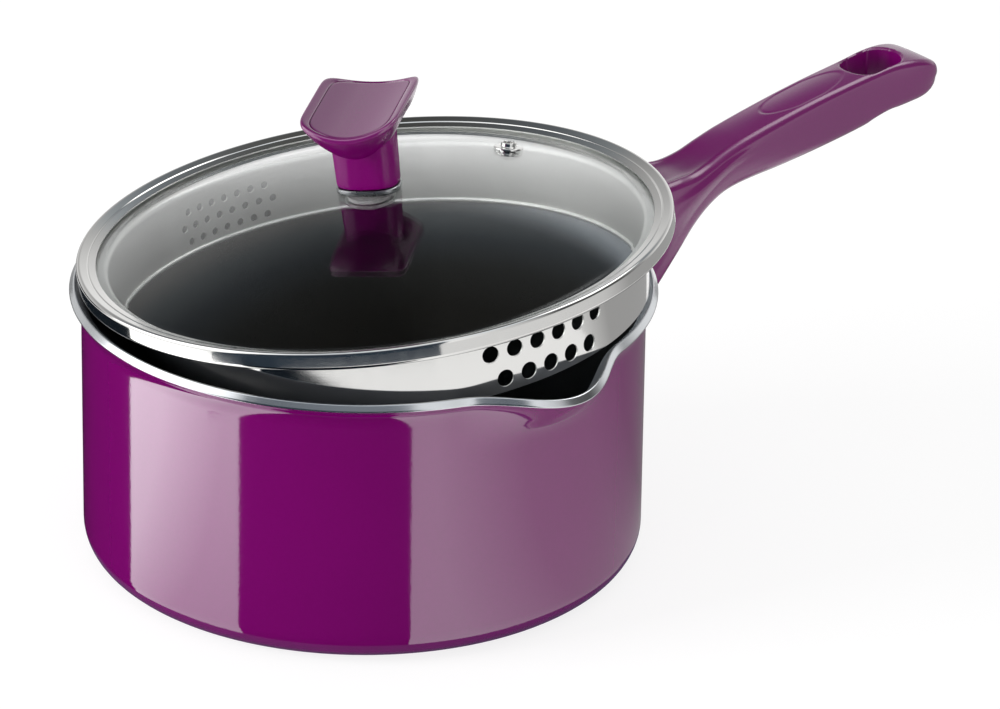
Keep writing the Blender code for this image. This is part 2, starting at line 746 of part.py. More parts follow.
def build_strainer(bm, rows, direction, pitch, radius, sides):
    """Cylinders through the skirt, in rows of (count, depth below the ring's top)."""
    for count, depth in rows:
        for index in range(count):
            angle = direction + (index - (count - 1) / 2) * pitch / SKIRT_RADIUS
            spoke = Vector((math.cos(angle), math.sin(angle), 0))
            low = Vector((0, 0, -depth))
            cylinder(bm, radius, spoke * (SKIRT_RADIUS - 4 * BODY_WALL) + low,
                     spoke * (SKIRT_RADIUS + 2 * BODY_WALL) + low, sides)


def make_lid_ring(material, frame):
    ring = turned_piece("lid_ring", ring_sheet_profile(), material, frame, closed=False)
    sheet = ring.modifiers.new("sheet", "SOLIDIFY")
    sheet.thickness = RING_SHEET
    sheet.offset = -1
    sheet.use_even_offset = True

    def build_coarse(bm):
        build_strainer(bm, COARSE_ROWS, COARSE_DIRECTION, COARSE_PITCH, COARSE_RADIUS, COARSE_SIDES)

    def build_fine(bm):
        build_strainer(bm, FINE_ROWS, FINE_DIRECTION, FINE_PITCH, FINE_RADIUS, FINE_SIDES)

    cut(ring, add_cutter("coarse_holes", mesh_from("coarse_holes", build_coarse), frame))
    cut(ring, add_cutter("fine_holes", mesh_from("fine_holes", build_fine), frame))
    return ring


def vent_matrix():
    """The vent's frame on the dome: its origin on the upper face, its Z square to the glass."""
    lean = math.asin(VENT_FROM_CENTRE / DOME_RADIUS)
    foot = Matrix.Translation((VENT_FROM_CENTRE, 0, dome_height(VENT_FROM_CENTRE)))
    return Matrix.Rotation(VENT_DIRECTION, 4, "Z") @ foot @ Matrix.Rotation(lean, 4, "Y")


def make_lid_glass(material, frame):
    glass = turned_piece("lid_glass", glass_profile(), material, frame)

    reach = 2 * GLASS_THICKNESS
    hole = bore(glass, "vent_hole", VENT_TUBE + GAP, (0, 0, -reach), (0, 0, reach), frame)
    hole.matrix_basis = vent_matrix()
    return glass


def make_vent(material, frame):
    """A grommet: a flange on the glass with a raised collar, a tube through it and a flange below."""
    flange_top = GAP + VENT_FLANGE_THICKNESS
    below = -GLASS_THICKNESS - GAP
    corners = [
        (VENT_BORE, below - VENT_FLANGE_THICKNESS, 0, 0),
        (VENT_BORE, flange_top + VENT_COLLAR_HEIGHT, VENT_COLLAR_WIDTH / 3, 2),
        (VENT_BORE + VENT_COLLAR_WIDTH, flange_top + VENT_COLLAR_HEIGHT, VENT_COLLAR_WIDTH / 3, 2),
        (VENT_BORE + VENT_COLLAR_WIDTH, flange_top, 0, 0),
        (VENT_FLANGE, flange_top, VENT_FLANGE_THICKNESS / 2, 2),
        (VENT_FLANGE, GAP, 0, 0),
        (VENT_TUBE, GAP, 0, 0),
        (VENT_TUBE, below, 0, 0),
        (VENT_LOWER_FLANGE, below, 0, 0),
        (VENT_LOWER_FLANGE, below - VENT_FLANGE_THICKNESS, 0, 0),
    ]
    vent = turned_piece("vent_eyelet", rounded_path(corners, closed=True), material, frame, SMALL_SIDES)
    vent.matrix_basis = vent_matrix()
    return vent


def oval(across, along, bulge, power, points=KNOB_OUTLINE_POINTS):
    """An outline between an oval and a rectangle, whose two ends bulge along the second axis."""
    outline = []
    for index in range(points):
        turn_by = math.tau * index / points
        heading = math.atan2((along + bulge) * math.sin(turn_by), across * math.cos(turn_by))
        near, far = 0.0, 2 * (across + along + bulge)
        for _ in range(40):
            middle = (near + far) / 2
            u = abs(middle * math.cos(heading))
            v = abs(middle * math.sin(heading))
            end = along + bulge * max(1 - (u / across) ** 2, 0)
            inside = (u / across) ** power + (v / end) ** power < 1
            near, far = (middle, far) if inside else (near, middle)
        outline.append((near * math.cos(heading), near * math.sin(heading)))
    return outline


def saddle(across):
    """How far the knob's top rises towards its two sides."""
    return KNOB_SADDLE * (across / KNOB_PLATE_ACROSS) ** 2


def build_knob(bm):
    """The neck, the hull under the grip, the grip's edge and its dished top with a sunken panel."""
    neck = oval(KNOB_NECK_ACROSS, KNOB_NECK_ALONG, 0, KNOB_NECK_POWER)
    plate = oval(KNOB_PLATE_ACROSS, KNOB_PLATE_ALONG, KNOB_PLATE_BULGE, KNOB_PLATE_POWER)
    middle = KNOB_BASE + KNOB_HEIGHT - KNOB_SADDLE
    rings = []

    def neck_top(u):
        """The height over the knob's foot where the hull leaves the neck, higher at its two sides."""
        return KNOB_NECK_HEIGHT + KNOB_NECK_SADDLE * (u / KNOB_NECK_ACROSS) ** 2

    def add_neck(share, grow):
        rings.append([
            (u * (1 + grow / KNOB_NECK_ACROSS), v * (1 + grow / KNOB_NECK_ALONG), KNOB_BASE + neck_top(u) * share)
            for u, v in neck
        ])

    def add_blend(share, sink):
        """A ring between neck and plate, which hangs under the dished top by a sink."""
        ring = []
        for (u, v), (wide_u, wide_v) in zip(neck, plate):
            x = u + (wide_u - u) * share
            y = v + (wide_v - v) * share
            low = KNOB_BASE + neck_top(u)
            high = middle + saddle(x) - KNOB_PLATE_EDGE
            ring.append((x, y, low + (high - low) * sink))
        rings.append(ring)

    def add_top(inset, drop):
        rings.append([
            (u * (1 - inset / KNOB_PLATE_ACROSS), v * (1 - inset / KNOB_PLATE_ALONG),
             middle + saddle(u * (1 - inset / KNOB_PLATE_ACROSS)) - drop)
            for u, v in plate
        ])

    add_neck(0, -0.0005)
    add_neck(0.04, 0)
    add_neck(0.6, KNOB_NECK_FLARE / 2)
    add_neck(1, KNOB_NECK_FLARE)
    for share, sink in ((0.25, 0.14), (0.5, 0.35), (0.75, 0.63), (0.93, 0.88)):
        add_blend(share, sink)
    rings.append([(u, v, middle + saddle(u) - KNOB_PLATE_EDGE) for u, v in plate])
    add_top(0, KNOB_PLATE_EDGE * 0.35)
    add_top(KNOB_PLATE_EDGE * 0.12, KNOB_PLATE_EDGE * 0.1)
    add_top(KNOB_PLATE_EDGE * 0.35, 0)
    add_top(KNOB_PANEL_INSET, 0)
    add_top(KNOB_PANEL_INSET + KNOB_PANEL_DEPTH, KNOB_PANEL_DEPTH)
    for inset in (0.35, 0.6, 0.85):
        add_top(KNOB_PLATE_ACROSS * inset, KNOB_PANEL_DEPTH)
    loft(bm, rings)


def make_knob(material, frame):
    knob = add_piece("knob", mesh_from("knob", build_knob), material, frame)
    knob.rotation_euler = (0, 0, KNOB_DIRECTION)

    top = KNOB_BASE + INSERT_LENGTH + 2 * GAP
    bore(knob, "insert_socket", INSERT_RADIUS + GAP, (0, 0, GLASS_CROWN), (0, 0, top), frame)
    return knob


def make_collar(material, frame):
    def build(bm):
        outline = oval(KNOB_NECK_ACROSS + COLLAR_PROUD, KNOB_NECK_ALONG + COLLAR_PROUD, 0, KNOB_NECK_POWER)
        prism(bm, outline, COLLAR_BASE, COLLAR_BASE + COLLAR_THICKNESS)

    collar = add_piece("knob_collar", mesh_from("knob_collar", build), material, frame)
    collar.rotation_euler = (0, 0, KNOB_DIRECTION)
    bore(collar, "collar_hole", KNOB_BOSS_HOLE, (0, 0, 0), (0, 0, KNOB_BASE + COLLAR_THICKNESS), frame)
    return collar


def make_knob_fixing(brass, silicone, steel, frame):
    """The threaded bush in the knob, and under the glass the seal, the washer and the screw."""
    insert_low = KNOB_BASE
    section = ring_profile(KNOB_BOSS_HOLE, INSERT_RADIUS, insert_low, insert_low + INSERT_LENGTH)
    turned_piece("knob_insert", section, brass, frame, SMALL_SIDES)

    seal_top = dome_height(SEAL_RADIUS, GLASS_THICKNESS) - GAP
    seal_low = seal_top - SEAL_THICKNESS
    section = ring_profile(KNOB_BOSS_HOLE, SEAL_RADIUS, seal_low, seal_top)
    turned_piece("knob_seal_washer", section, silicone, frame, SMALL_SIDES)

    washer_top = seal_low - GAP
    washer_low = washer_top - WASHER_THICKNESS
    section = ring_profile(KNOB_BOSS_HOLE, WASHER_RADIUS, washer_low, washer_top)
    turned_piece("knob_washer", section, steel, frame, SMALL_SIDES)

    head_top = washer_low - GAP
    head_low = head_top - KNOB_SCREW_HEAD_HEIGHT
    corners = [
        (0, insert_low + KNOB_SCREW_REACH, 0, 0),
        (KNOB_SCREW_RADIUS, insert_low + KNOB_SCREW_REACH, KNOB_SCREW_RADIUS / 4, 2),
        (KNOB_SCREW_RADIUS, head_top, 0, 0),
        (KNOB_SCREW_HEAD_RADIUS, head_top, 0, 0),
        (KNOB_SCREW_HEAD_RADIUS, head_low, KNOB_SCREW_HEAD_HEIGHT / 2, 3),
        (0, head_low, 0, 0),
    ]
    screw = turned_piece("knob_screw", rounded_path(corners), steel, frame, SMALL_SIDES, closed=False)

    slot = (2 * KNOB_SCREW_RADIUS, KNOB_SCREW_SLOT_WIDTH)
    for name, size in (("screw_slot_a", slot), ("screw_slot_b", slot[::-1])):
        def build_slot(bm, size=size):
            box(bm, (*size, 2 * KNOB_SCREW_SLOT_DEPTH), (0, 0, head_low))
        cut(screw, add_cutter(name, mesh_from(name, build_slot), frame))


def make_lid_frame():
    """The empty that carries every piece of the lid."""
    frame = bpy.data.objects.new("lid_frame", None)
    frame.empty_display_size = BODY_RADIUS / 4
    frame.matrix_world = lid_matrix(lid_rest_height())
    bpy.data.collections[PARTS].objects.link(frame)
    return frame


def main():
    clear_scene()
    make_collection(PARTS)
    make_collection(CUTTERS)
    enamel = make_material("purple_enamel", (0.19, 0.0, 0.15), 0.22)
    phenolic = make_material("purple_phenolic", (0.15, 0.0, 0.11), 0.42)
    aluminium = make_material("bare_aluminium", (0.72, 0.72, 0.73), 0.35, 1.0)
    steel = make_material("polished_steel", (0.80, 0.80, 0.78), 0.18, 1.0)
    glass = make_material("clear_glass", (0.92, 0.96, 0.95), 0.02, 0.0, 1.0)
    brass = make_material("brass", (0.75, 0.55, 0.25), 0.30, 1.0)
    silicone = make_material("clear_silicone", (0.75, 0.75, 0.74), 0.55)

    make_pan_body(enamel)
    section = profile_mesh("pan_clearance", pan_clearance_profile(HANDLE_WALL_GAP), False)
    clearance = add_cutter("pan_clearance", section)
    turn(clearance, TURN_STEPS)
    make_handle(phenolic, clearance)
    make_fixing(aluminium, steel)

    frame = make_lid_frame()
    make_lid_glass(glass, frame)
    make_lid_ring(steel, frame)
    make_vent(steel, frame)
    make_knob(phenolic, frame)
    make_collar(steel, frame)
    make_knob_fixing(brass, silicone, steel, frame)
    bpy.context.view_layer.update()


main()
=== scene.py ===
"""Looks for a lidded saucepan: fine shells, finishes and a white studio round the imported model.

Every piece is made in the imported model's frame: metres, +Z up, the handle along +X, the spout along -Y.
The lid's pieces are made in the lid's own frame, whose origin is the centre of the ring's top edge, and
are then laid at the tilt at which the lid rests on the pan.
"""

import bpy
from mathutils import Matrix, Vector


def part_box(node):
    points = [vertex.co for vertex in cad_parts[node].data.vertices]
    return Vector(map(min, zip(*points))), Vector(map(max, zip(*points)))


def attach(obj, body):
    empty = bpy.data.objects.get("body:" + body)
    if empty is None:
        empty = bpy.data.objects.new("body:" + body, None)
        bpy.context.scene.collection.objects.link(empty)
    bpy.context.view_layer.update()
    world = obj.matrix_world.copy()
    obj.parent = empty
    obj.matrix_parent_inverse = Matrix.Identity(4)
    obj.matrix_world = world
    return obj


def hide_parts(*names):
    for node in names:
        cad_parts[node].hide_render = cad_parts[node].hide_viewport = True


bl_info = {
    "name": "Lidded saucepan",
    "version": (1, 0, 0),
    "blender": (4, 5, 0),
    "location": "View3D > Sidebar > Saucepan",
    "description": "Builds the visible pieces, finishes and studio of a lidded saucepan",
    "category": "Object",
}

import math

import bmesh
import bpy
from bpy.props import FloatProperty, FloatVectorProperty, PointerProperty
from bpy.types import Operator, Panel, PropertyGroup
from mathutils import Matrix, Vector

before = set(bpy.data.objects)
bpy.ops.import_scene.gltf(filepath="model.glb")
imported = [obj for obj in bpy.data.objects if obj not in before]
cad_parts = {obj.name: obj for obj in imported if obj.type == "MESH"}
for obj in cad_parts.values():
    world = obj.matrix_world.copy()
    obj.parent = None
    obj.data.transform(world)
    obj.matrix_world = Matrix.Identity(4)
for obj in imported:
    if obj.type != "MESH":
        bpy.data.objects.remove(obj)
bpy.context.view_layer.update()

# Fineness of the round shapes
BODY_STEPS = 288
SMALL_STEPS = 64
GLASS_STEPS, DOME_STEPS = 192, 40
KNOB_STEPS, COLLAR_STEPS = 128, 96
NECK_STEPS, HULL_STEPS, EDGE_STEPS, PLATE_ROUND_STEPS, PANEL_STEPS = 12, 20, 4, 7, 26
SHARP_ANGLE = math.radians(32)
# Fineness of a handle section: its top, each rounding, its side and its underside
TOP_STEPS, ROUND_STEPS, SIDE_STEPS, UNDER_STEPS = 16, 9, 18, 8
# How far a cutter stands out of what it cuts
OVERCUT = 0.002
# The side from which the stage is meant to be seen, from the handle
VIEW_AZIMUTH = math.radians(-129.5)
# How far the cards on the floor reach
HORIZON = 1.9

# Each row: out from the wall, half-width at the crease, half-width low down, crease height over the lip,
# underside, crown
HANDLE_ROOT = (
    (-0.006, 0.0136, 0.0150, 0.0002, -0.0565, -0.0012),
    (0.004, 0.0135, 0.0150, 0.0020, -0.0558, -0.0016),
    (0.012, 0.0133, 0.0148, 0.0034, -0.0521, -0.0019),
    (0.022, 0.0130, 0.0144, 0.0036, -0.0426, -0.0016),
    (0.032, 0.0127, 0.0136, 0.0036, -0.0331, -0.0015),
    (0.040, 0.0123, 0.0124, 0.0036, -0.0261, -0.0012),
    (0.048, 0.0113, 0.0111, 0.0035, -0.0191, -0.0008),
    (0.056, 0.0104, 0.0101, 0.0051, -0.0139, -0.0004),
    (0.064, 0.0099, 0.0096, 0.0078, -0.0103, 0.0),
    (0.074, 0.0098, 0.0094, 0.0104, -0.0084, 0.0004),
)
# Each row: back from the tip, and the same five sizes
HANDLE_GRIP = (
    (0.076, 0.0097, 0.0092, 0.0143, -0.0070, 0.0008),
    (0.056, 0.0097, 0.0092, 0.0173, -0.0051, 0.0008),
    (0.036, 0.0098, 0.0093, 0.0196, -0.0024, 0.0008),
    (0.024, 0.0104, 0.0098, 0.0208, 0.0005, 0.0008),
    (0.014, 0.0113, 0.0106, 0.0204, 0.0018, 0.0006),
    (0.006, 0.0116, 0.0108, 0.0188, 0.0026, 0.0003),
    (0.000, 0.0116, 0.0108, 0.0168, 0.0032, 0.0),
)

# Face finishes of the pan shell, each with its number, and of the lid's ring
SHELL_FINISHES = ("Enamel", "Nonstick", "Lip Edge", "Base Face")
RING_FINISHES = ("Ring Inside", "Ring Steel")
ENAMEL, NONSTICK, LIP_EDGE, BASE_FACE = range(4)


def length(name, default, description):
    """A property that holds a length in metres."""
    return FloatProperty(name=name, description=description, default=default, unit="LENGTH", precision=5)


def turn_angle(name, degrees, description):
    """A property that holds an angle."""
    return FloatProperty(name=name, description=description, default=math.radians(degrees), subtype="ANGLE")


def colour(name, default, description):
    """A property that holds a linear colour."""
    return FloatVectorProperty(
        name=name, description=description, default=default, subtype="COLOR", min=0, max=1
    )


def factor(name, default, description, most=1.0):
    """A property that holds a plain number."""
    return FloatProperty(name=name, description=description, default=default, min=0, max=most)


def power(name, default, description):
    """A property that holds a lamp's power."""
    return FloatProperty(name=name, description=description, default=default, min=0, unit="POWER")


def position(name, default, description):
    """A property that holds a place in metres."""
    return FloatVectorProperty(name=name, description=description, default=default, unit="LENGTH")


class PanSizes(PropertyGroup):
    body_radius: length("Body radius", 0.100, "Outer radius of the straight wall")
    wall: length("Wall", 0.0026, "Thickness of the wall")
    floor: length("Floor", 0.0035, "Thickness of the base")
    base_corner: length("Base corner", 0.011, "Outer radius between wall and base")
    inner_corner: length("Inner corner", 0.008, "Inner radius between wall and floor")
    lip_height: length("Lip height", 0.1018, "Height of the lip over the base")
    lip_reach: length("Lip reach", 0.0044, "How far the lip flares out of the wall")
    lip_edge: length("Lip edge", 0.0033, "Width of the bare edge of the lip")
    lip_edge_straight: length("Lip edge land", 0.0007, "Straight run before the lip's bare edge")
    lip_edge_round: length("Lip edge rounding", 0.0006, "Rounding of the lip's two edges")
    lip_turn: turn_angle("Lip turn", 52.4, "How far the wall bends out at the lip")
    base_face: length("Base face radius", 0.080, "Radius of the turned face under the base")
    base_sink: length("Base face sink", 0.0003, "How far that face is sunk")
    base_bevel: length("Base face bevel", 0.0004, "Width of the slope into that face")
    spout_direction: turn_angle("Spout direction", -90, "Where the spout points, from the handle")
    spout_half: turn_angle("Spout half-angle", 20.8, "Half of the lip that the spout takes")
    spout_reach: length("Spout reach", 0.0131, "How far the spout swings the lip out")
    spout_drop: length("Spout drop", 0.0024, "How far the spout's lip dips")
    spout_depth: length("Spout depth", 0.0228, "How far down the wall the spout starts")
    spout_full: length("Spout full depth", 0.0028, "How far under the lip the spout is full")
    spout_drop_power: factor("Spout drop power", 1.8, "How narrow the dip in the spout is", 9)


class HandleSizes(PropertyGroup):
    length: length("Length", 0.171, "From the pan's wall to the tip")
    start: length("Start", -0.004, "Where the root starts, before the wall's clearance is cut")
    crease_round: length("Crease rounding", 0.0026, "Rounding between top and sides")
    crease_swell: factor("Crease swell", 0.3, "How much broader that rounding is towards the pan")
    lower_round: length("Lower rounding", 0.0058, "Rounding between sides and underside")
    tip_round: length("Tip rounding", 0.010, "Length of the rounded tip")
    tip_shrink: factor("Tip shrink", 0.62, "How much of the section is left at the tip")
    lip_gap: length("Gap to the lip", 0.0020, "Air between the root and the lip")
    wall_gap: length("Gap to the wall", 0.0004, "Air between the root and the wall")
    hole_length: length("Hole length", 0.025, "Length of the hanging hole")
    hole_width: length("Hole width", 0.0168, "Width of the hanging hole")
    hole_from_tip: length("Hole from tip", 0.0267, "From the tip to the hole's middle")
    hole_round: length("Hole rounding", 0.0011, "Rounding of the hole's rim")
    panel_length: length("Panel length", 0.040, "Length of the bare oval on the top")
    panel_width: length("Panel width", 0.014, "Width of the bare oval on the top")
    panel_from_tip: length("Panel from tip", 0.0618, "From the tip to the oval's middle")
    panel_depth: length("Panel depth", 0.00025, "Depth of the bare oval")
    ridge: length("Flank ridge", 0.0011, "How far the soft ridge stands out of the root's flank")
    flank_bulge: length("Flank bulge", 0.0003, "How far the sides bulge at their middle")
    counterbore: length("Counterbore", 0.0055, "Radius of the screw's counterbore")
    counterbore_reach: length("Counterbore reach", 0.034, "Length of the screw's counterbore")
    shank_hole: length("Shank hole", 0.0028, "Radius of the hole for the screw's shank")


class LidSizes(PropertyGroup):
    tilt: turn_angle("Tilt", 6.59, "How far the resting lid leans")
    high_side: turn_angle("High side", -51.8, "Direction of the lid's high side, from the handle")
    turn: turn_angle("Turn", -1.3, "How far the lid is turned about its own axis")
    shift: length("Shift", 0.0036, "How far the lid slides towards its high side")
    ring_radius: length("Ring radius", 0.1060, "Outer radius of the steel ring")
    sheet: length("Sheet", 0.0006, "Thickness of the ring's steel")
    fascia: length("Fascia height", 0.0068, "Height of the ring's outer band")
    fascia_round: length("Fascia rounding", 0.0012, "Rounding of the fascia's edges")
    flange: length("Flange width", 0.0070, "Width of the flange over the glass")
    flange_drop: length("Flange drop", 0.0020, "How far the flange slopes to the glass")
    flange_step: length("Flange step", 0.00022, "Depth of the fine pressed line on the flange")
    skirt_radius: length("Skirt radius", 0.0949, "Outer radius of the skirt")
    skirt_depth: length("Skirt depth", 0.0297, "From the ring's top edge to the hem")
    hem_roll: length("Hem roll", 0.0008, "Radius of the rolled hem")
    ledge_round: length("Ledge rounding", 0.0012, "Rounding between fascia and skirt")
    coarse_radius: length("Coarse hole radius", 0.0031, "Radius of the holes over the spout")
    coarse_pitch: length("Coarse pitch", 0.0094, "Distance between the coarse holes of a row")
    coarse_direction: turn_angle("Coarse direction", -90, "Middle of the coarse holes")
    fine_radius: length("Fine hole radius", 0.0014, "Radius of the holes opposite the spout")
    fine_pitch: length("Fine pitch", 0.0057, "Distance between the fine holes of a row")
    fine_direction: turn_angle("Fine direction", 88.5, "Middle of the fine holes")
    glass: length("Glass thickness", 0.0030, "Thickness of the glass")
    glass_play: length("Glass play", 0.0008, "Air between the glass's edge and the ring")
    glass_flat: length("Glass flat", 0.0068, "Width of the flat rim of the glass")
    glass_seat: length("Glass seat", 0.0003, "Air between the flange and the glass")
    glass_round: length("Glass edge rounding", 0.0008, "Rounding of the glass's edge")
    crown: length("Crown", 0.0155, "Height of the dome over the ring's top edge")
    knob_hole: length("Knob hole", 0.0033, "Radius of the hole under the knob")
    vent_from_centre: length("Vent distance", 0.0663, "From the lid's axis to the vent")
    vent_direction: turn_angle("Vent direction", 4.4, "Direction of the vent")
    vent_bore: length("Vent bore", 0.0020, "Radius of the vent's bore")
    vent_tube: length("Vent tube", 0.0031, "Outer radius of the vent's tube")
    vent_flange: length("Vent flange", 0.0053, "Radius of the vent's upper flange")
    vent_lower: length("Vent lower flange", 0.0047, "Radius of the vent's lower flange")
    vent_sheet: length("Vent sheet", 0.0007, "Thickness of the vent's flanges")
    vent_collar: length("Vent collar", 0.0016, "Height of the vent's raised collar")
    vent_collar_wall: length("Vent collar wall", 0.0008, "Wall of the vent's raised collar")


class KnobSizes(PropertyGroup):
    direction: turn_angle("Direction", -50.5, "Direction of the knob's width")
    neck_across: length("Neck across", 0.0112, "Half-width of the neck")
    neck_along: length("Neck along", 0.0080, "Half-depth of the neck")
    neck_power: factor("Neck squareness", 2.7, "From 2, an oval, towards a rectangle", 20)
    neck_flare: length("Neck flare", 0.0006, "How much the neck widens upwards")
    neck_height: length("Neck height", 0.0138, "From the collar to the hull, at the middle")
    neck_saddle: length("Neck saddle", 0.0090, "How much higher the hull starts at the neck's sides")
    plate_across: length("Plate across", 0.0175, "Half-width of the grip")
    plate_along: length("Plate along", 0.0225, "Half-length of the grip at its sides")
    plate_bulge: length("Plate bulge", 0.0048, "How much longer the grip is at its middle")
    plate_power: factor("Plate squareness", 9.0, "How square the grip's corners are", 20)
    plate_edge: length("Plate edge", 0.0017, "Height of the grip's edge")
    plate_round: length("Plate rounding", 0.0011, "Rounding of the grip's top edge")
    height: length("Height", 0.0322, "From the collar to the grip's highest points")
    saddle: length("Saddle", 0.0048, "How far the grip's middle is dished")
    panel_inset: length("Panel inset", 0.0032, "Width of the border beside the bare panel")
    panel_end_inset: length("Panel end inset", 0.0014, "Width of the border at the bare panel's two ends")
    panel_depth: length("Panel depth", 0.00016, "Depth of the bare panel")
    groove: length("Groove", 0.0007, "Depth of the outline round the panel")
    groove_half: length("Groove half-width", 0.0004, "Half the width of that outline")
    collar: length("Collar", 0.0019, "Height of the metal collar under the knob")
    collar_proud: length("Collar proud", 0.0003, "How far the collar stands out of the neck")
    bush_hole: length("Bush hole", 0.0043, "Radius of the hole for the threaded bush")
    screw_hole: length("Screw hole", 0.0023, "Radius of the hole for the screw in the collar")
    gap: length("Gap", 0.0003, "Air between stacked pieces")


class Finishes(PropertyGroup):
    enamel: colour("Enamel", (0.175, 0.0003, 0.127), "Outside of the pan")
    nonstick: colour("Nonstick", (0.0045, 0.0048, 0.0052), "Inside of the pan")
    # The pale colour that the nonstick grows to under the lip: a painted sheen, not the coating's own colour
    nonstick_painted_sheen: colour("Nonstick flare", (0.15, 0.16, 0.18), "Inside of the lip's flare")
    phenolic: colour("Phenolic", (0.175, 0.0004, 0.127), "Handle and knob")
    steel: colour("Steel", (0.74, 0.735, 0.72), "Ring, vent and screws")
    bare_aluminium: colour("Aluminium", (0.70, 0.72, 0.74), "Lip edge, collar and boss")
    glass: colour("Glass", (0.97, 0.985, 0.98), "Lid glass")
    brass: colour("Brass", (0.70, 0.50, 0.22), "Threaded bush in the knob")
    silicone: colour("Silicone", (0.30, 0.28, 0.29), "Seal under the glass")
    stage_white: colour("Floor", (0.90, 0.90, 0.90), "Floor of the studio")


class StageLevels(PropertyGroup):
    sky: factor("Sky", 0.58, "Light of the white room on the object", 9)
    key_power: power("Key", 28.0, "Power of the key softbox")
    fill_power: power("Fill", 9.0, "Power of the fill softbox")
    left_card: factor("Left card", 2.10, "Brightness of the card that the left of the wall mirrors", 9)
    right_card: factor("Right card", 1.09, "Brightness of the card that the right of the wall mirrors", 9)
    side_window: factor("Side window", 2.6, "Brightness of the high softbox beside the handle", 9)
    flag: factor("Flags", 0.012, "Brightness of the dark flags that polished pieces mirror")
    lens: FloatProperty(name="Lens", description="Focal length", default=250.05, min=1, unit="CAMERA")
    roll: turn_angle("Roll", 0.894, "Turn of the camera about its own axis")
    camera_place: position("Camera", (-1.42176, -1.72473, 1.11979), "Where the camera stands")
    camera_aim: position("Aim", (0.05672, -0.00844, 0.05901), "What the camera looks at")


SETTINGS = {
    "saucepan_pan": PanSizes,
    "saucepan_handle": HandleSizes,
    "saucepan_lid": LidSizes,
    "saucepan_knob": KnobSizes,
    "saucepan_finish": Finishes,
    "saucepan_stage": StageLevels,
}


def settings(name):
    return getattr(bpy.context.scene, "saucepan_" + name)


# Mesh helpers


def linked_object(name, bm):
    """An object at the origin from a finished bmesh."""
    mesh = bpy.data.meshes.new(name)
    bm.to_mesh(mesh)
    bm.free()
    piece = bpy.data.objects.new(name, mesh)
    bpy.context.scene.collection.objects.link(piece)
    return piece


def mesh_piece(name, bm):
    """An object at the origin whose faces are turned outward."""
    bmesh.ops.recalc_face_normals(bm, faces=bm.faces)
    return linked_object(name, bm)


def polar(angle, reach=1.0, up=0.0):
    """The point at an angle round Z, at a distance from it and at a height."""
    return Vector((reach * math.cos(angle), reach * math.sin(angle), up))


def rounded_path(corners, closed=False):
    """Points along a line through (across, up, fillet radius, fillet steps), with each corner rounded."""
    points = []
    last = len(corners) - 1
    for index, (across, up, radius, steps) in enumerate(corners):
        corner = Vector((across, up))
        if radius == 0 or (not closed and index in (0, last)):
            points.append(corner)
            continue
        back = (Vector(corners[index - 1][:2]) - corner).normalized()
        ahead = (Vector(corners[(index + 1) % len(corners)][:2]) - corner).normalized()
        half = back.angle(ahead) / 2
        centre = corner + (back + ahead).normalized() * radius / math.sin(half)
        spoke = corner + back * radius / math.tan(half) - centre
        sweep = math.pi - 2 * half
        if back.x * ahead.y - back.y * ahead.x > 0:
            sweep = -sweep
        for step in range(steps + 1):
            points.append(centre + Matrix.Rotation(sweep * step / steps, 2) @ spoke)
    return points


def split_long(points, longest, hold=0.00025):
    """Add points on a line wherever two of them are far apart, and close to both ends of each long run, so
    that smooth shading keeps a flat run flat next to a rounding."""
    out = [points[0]]
    for start, end in zip(points, points[1:]):
        run = (end - start).length
        shares = []
        if run > 4 * hold:
            parts = max(1, math.ceil(run / longest))
            shares = [hold / run] + [step / parts for step in range(1, parts)] + [1 - hold / run]
        out += [start.lerp(end, share) for share in shares + [1.0]]
    return out


def thick_line(points, thickness):
    """A closed section: the line, and the same line again at a thickness to its right."""
    inner = []
    for index, point in enumerate(points):
        before = points[max(index - 1, 0)]
        after = points[min(index + 1, len(points) - 1)]
        runs = ((before, point), (point, after))
        steps = [(end - start).normalized() for start, end in runs if end != start]
        normals = [Vector((step.y, -step.x)) for step in steps]
        mean = sum(normals, Vector((0, 0))).normalized()
        inner.append(point + mean * thickness / max(mean.dot(normals[0]), 0.3))
    return list(points) + inner[::-1]


def revolve(bm, points, steps, closed, finish_of=None):
    """Turn a section of (radius, height) points once round Z, with an optional finish number on each face."""
    layer = bm.faces.layers.int.new("finish") if finish_of else None
    rows = []
    for radius, up in points:
        if radius < 1e-7:
            rows.append([bm.verts.new((0, 0, up))])
            continue
        rows.append([bm.verts.new(polar(math.tau * step / steps, radius, up)) for step in range(steps)])
    pairs = list(zip(rows, rows[1:]))
    if closed:
        pairs.append((rows[-1], rows[0]))
    for index, (low, high) in enumerate(pairs):
        for step in range(steps):
            after = (step + 1) % steps
            if len(low) == 1:
                corners = (low[0], high[step], high[after])
            elif len(high) == 1:
                corners = (low[step], high[0], low[after])
            else:
                corners = (low[step], high[step], high[after], low[after])
            face = bm.faces.new(corners)
            if layer:
                face[layer] = finish_of(index)


def turned_piece(name, points, steps=SMALL_STEPS, closed=True, finish_of=None):
    bm = bmesh.new()
    revolve(bm, points, steps, closed, finish_of)
    return mesh_piece(name, bm)


def lofted_piece(name, rings):
    """Faces between closed rings of equally many points, with both ends capped."""
    bm = bmesh.new()
    rows = [[bm.verts.new(point) for point in ring] for ring in rings]
    count = len(rows[0])
    for lower, upper in zip(rows, rows[1:]):
        for index in range(count):
            after = (index + 1) % count
            bm.faces.new((lower[index], lower[after], upper[after], upper[index]))
    bm.faces.new(list(reversed(rows[0])))
    bm.faces.new(rows[-1])
    return mesh_piece(name, bm)


def flat_piece(name, outline):
    """One flat face, as it is outlined."""
    bm = bmesh.new()
    bm.faces.new([bm.verts.new(corner) for corner in outline])
    return linked_object(name, bm)


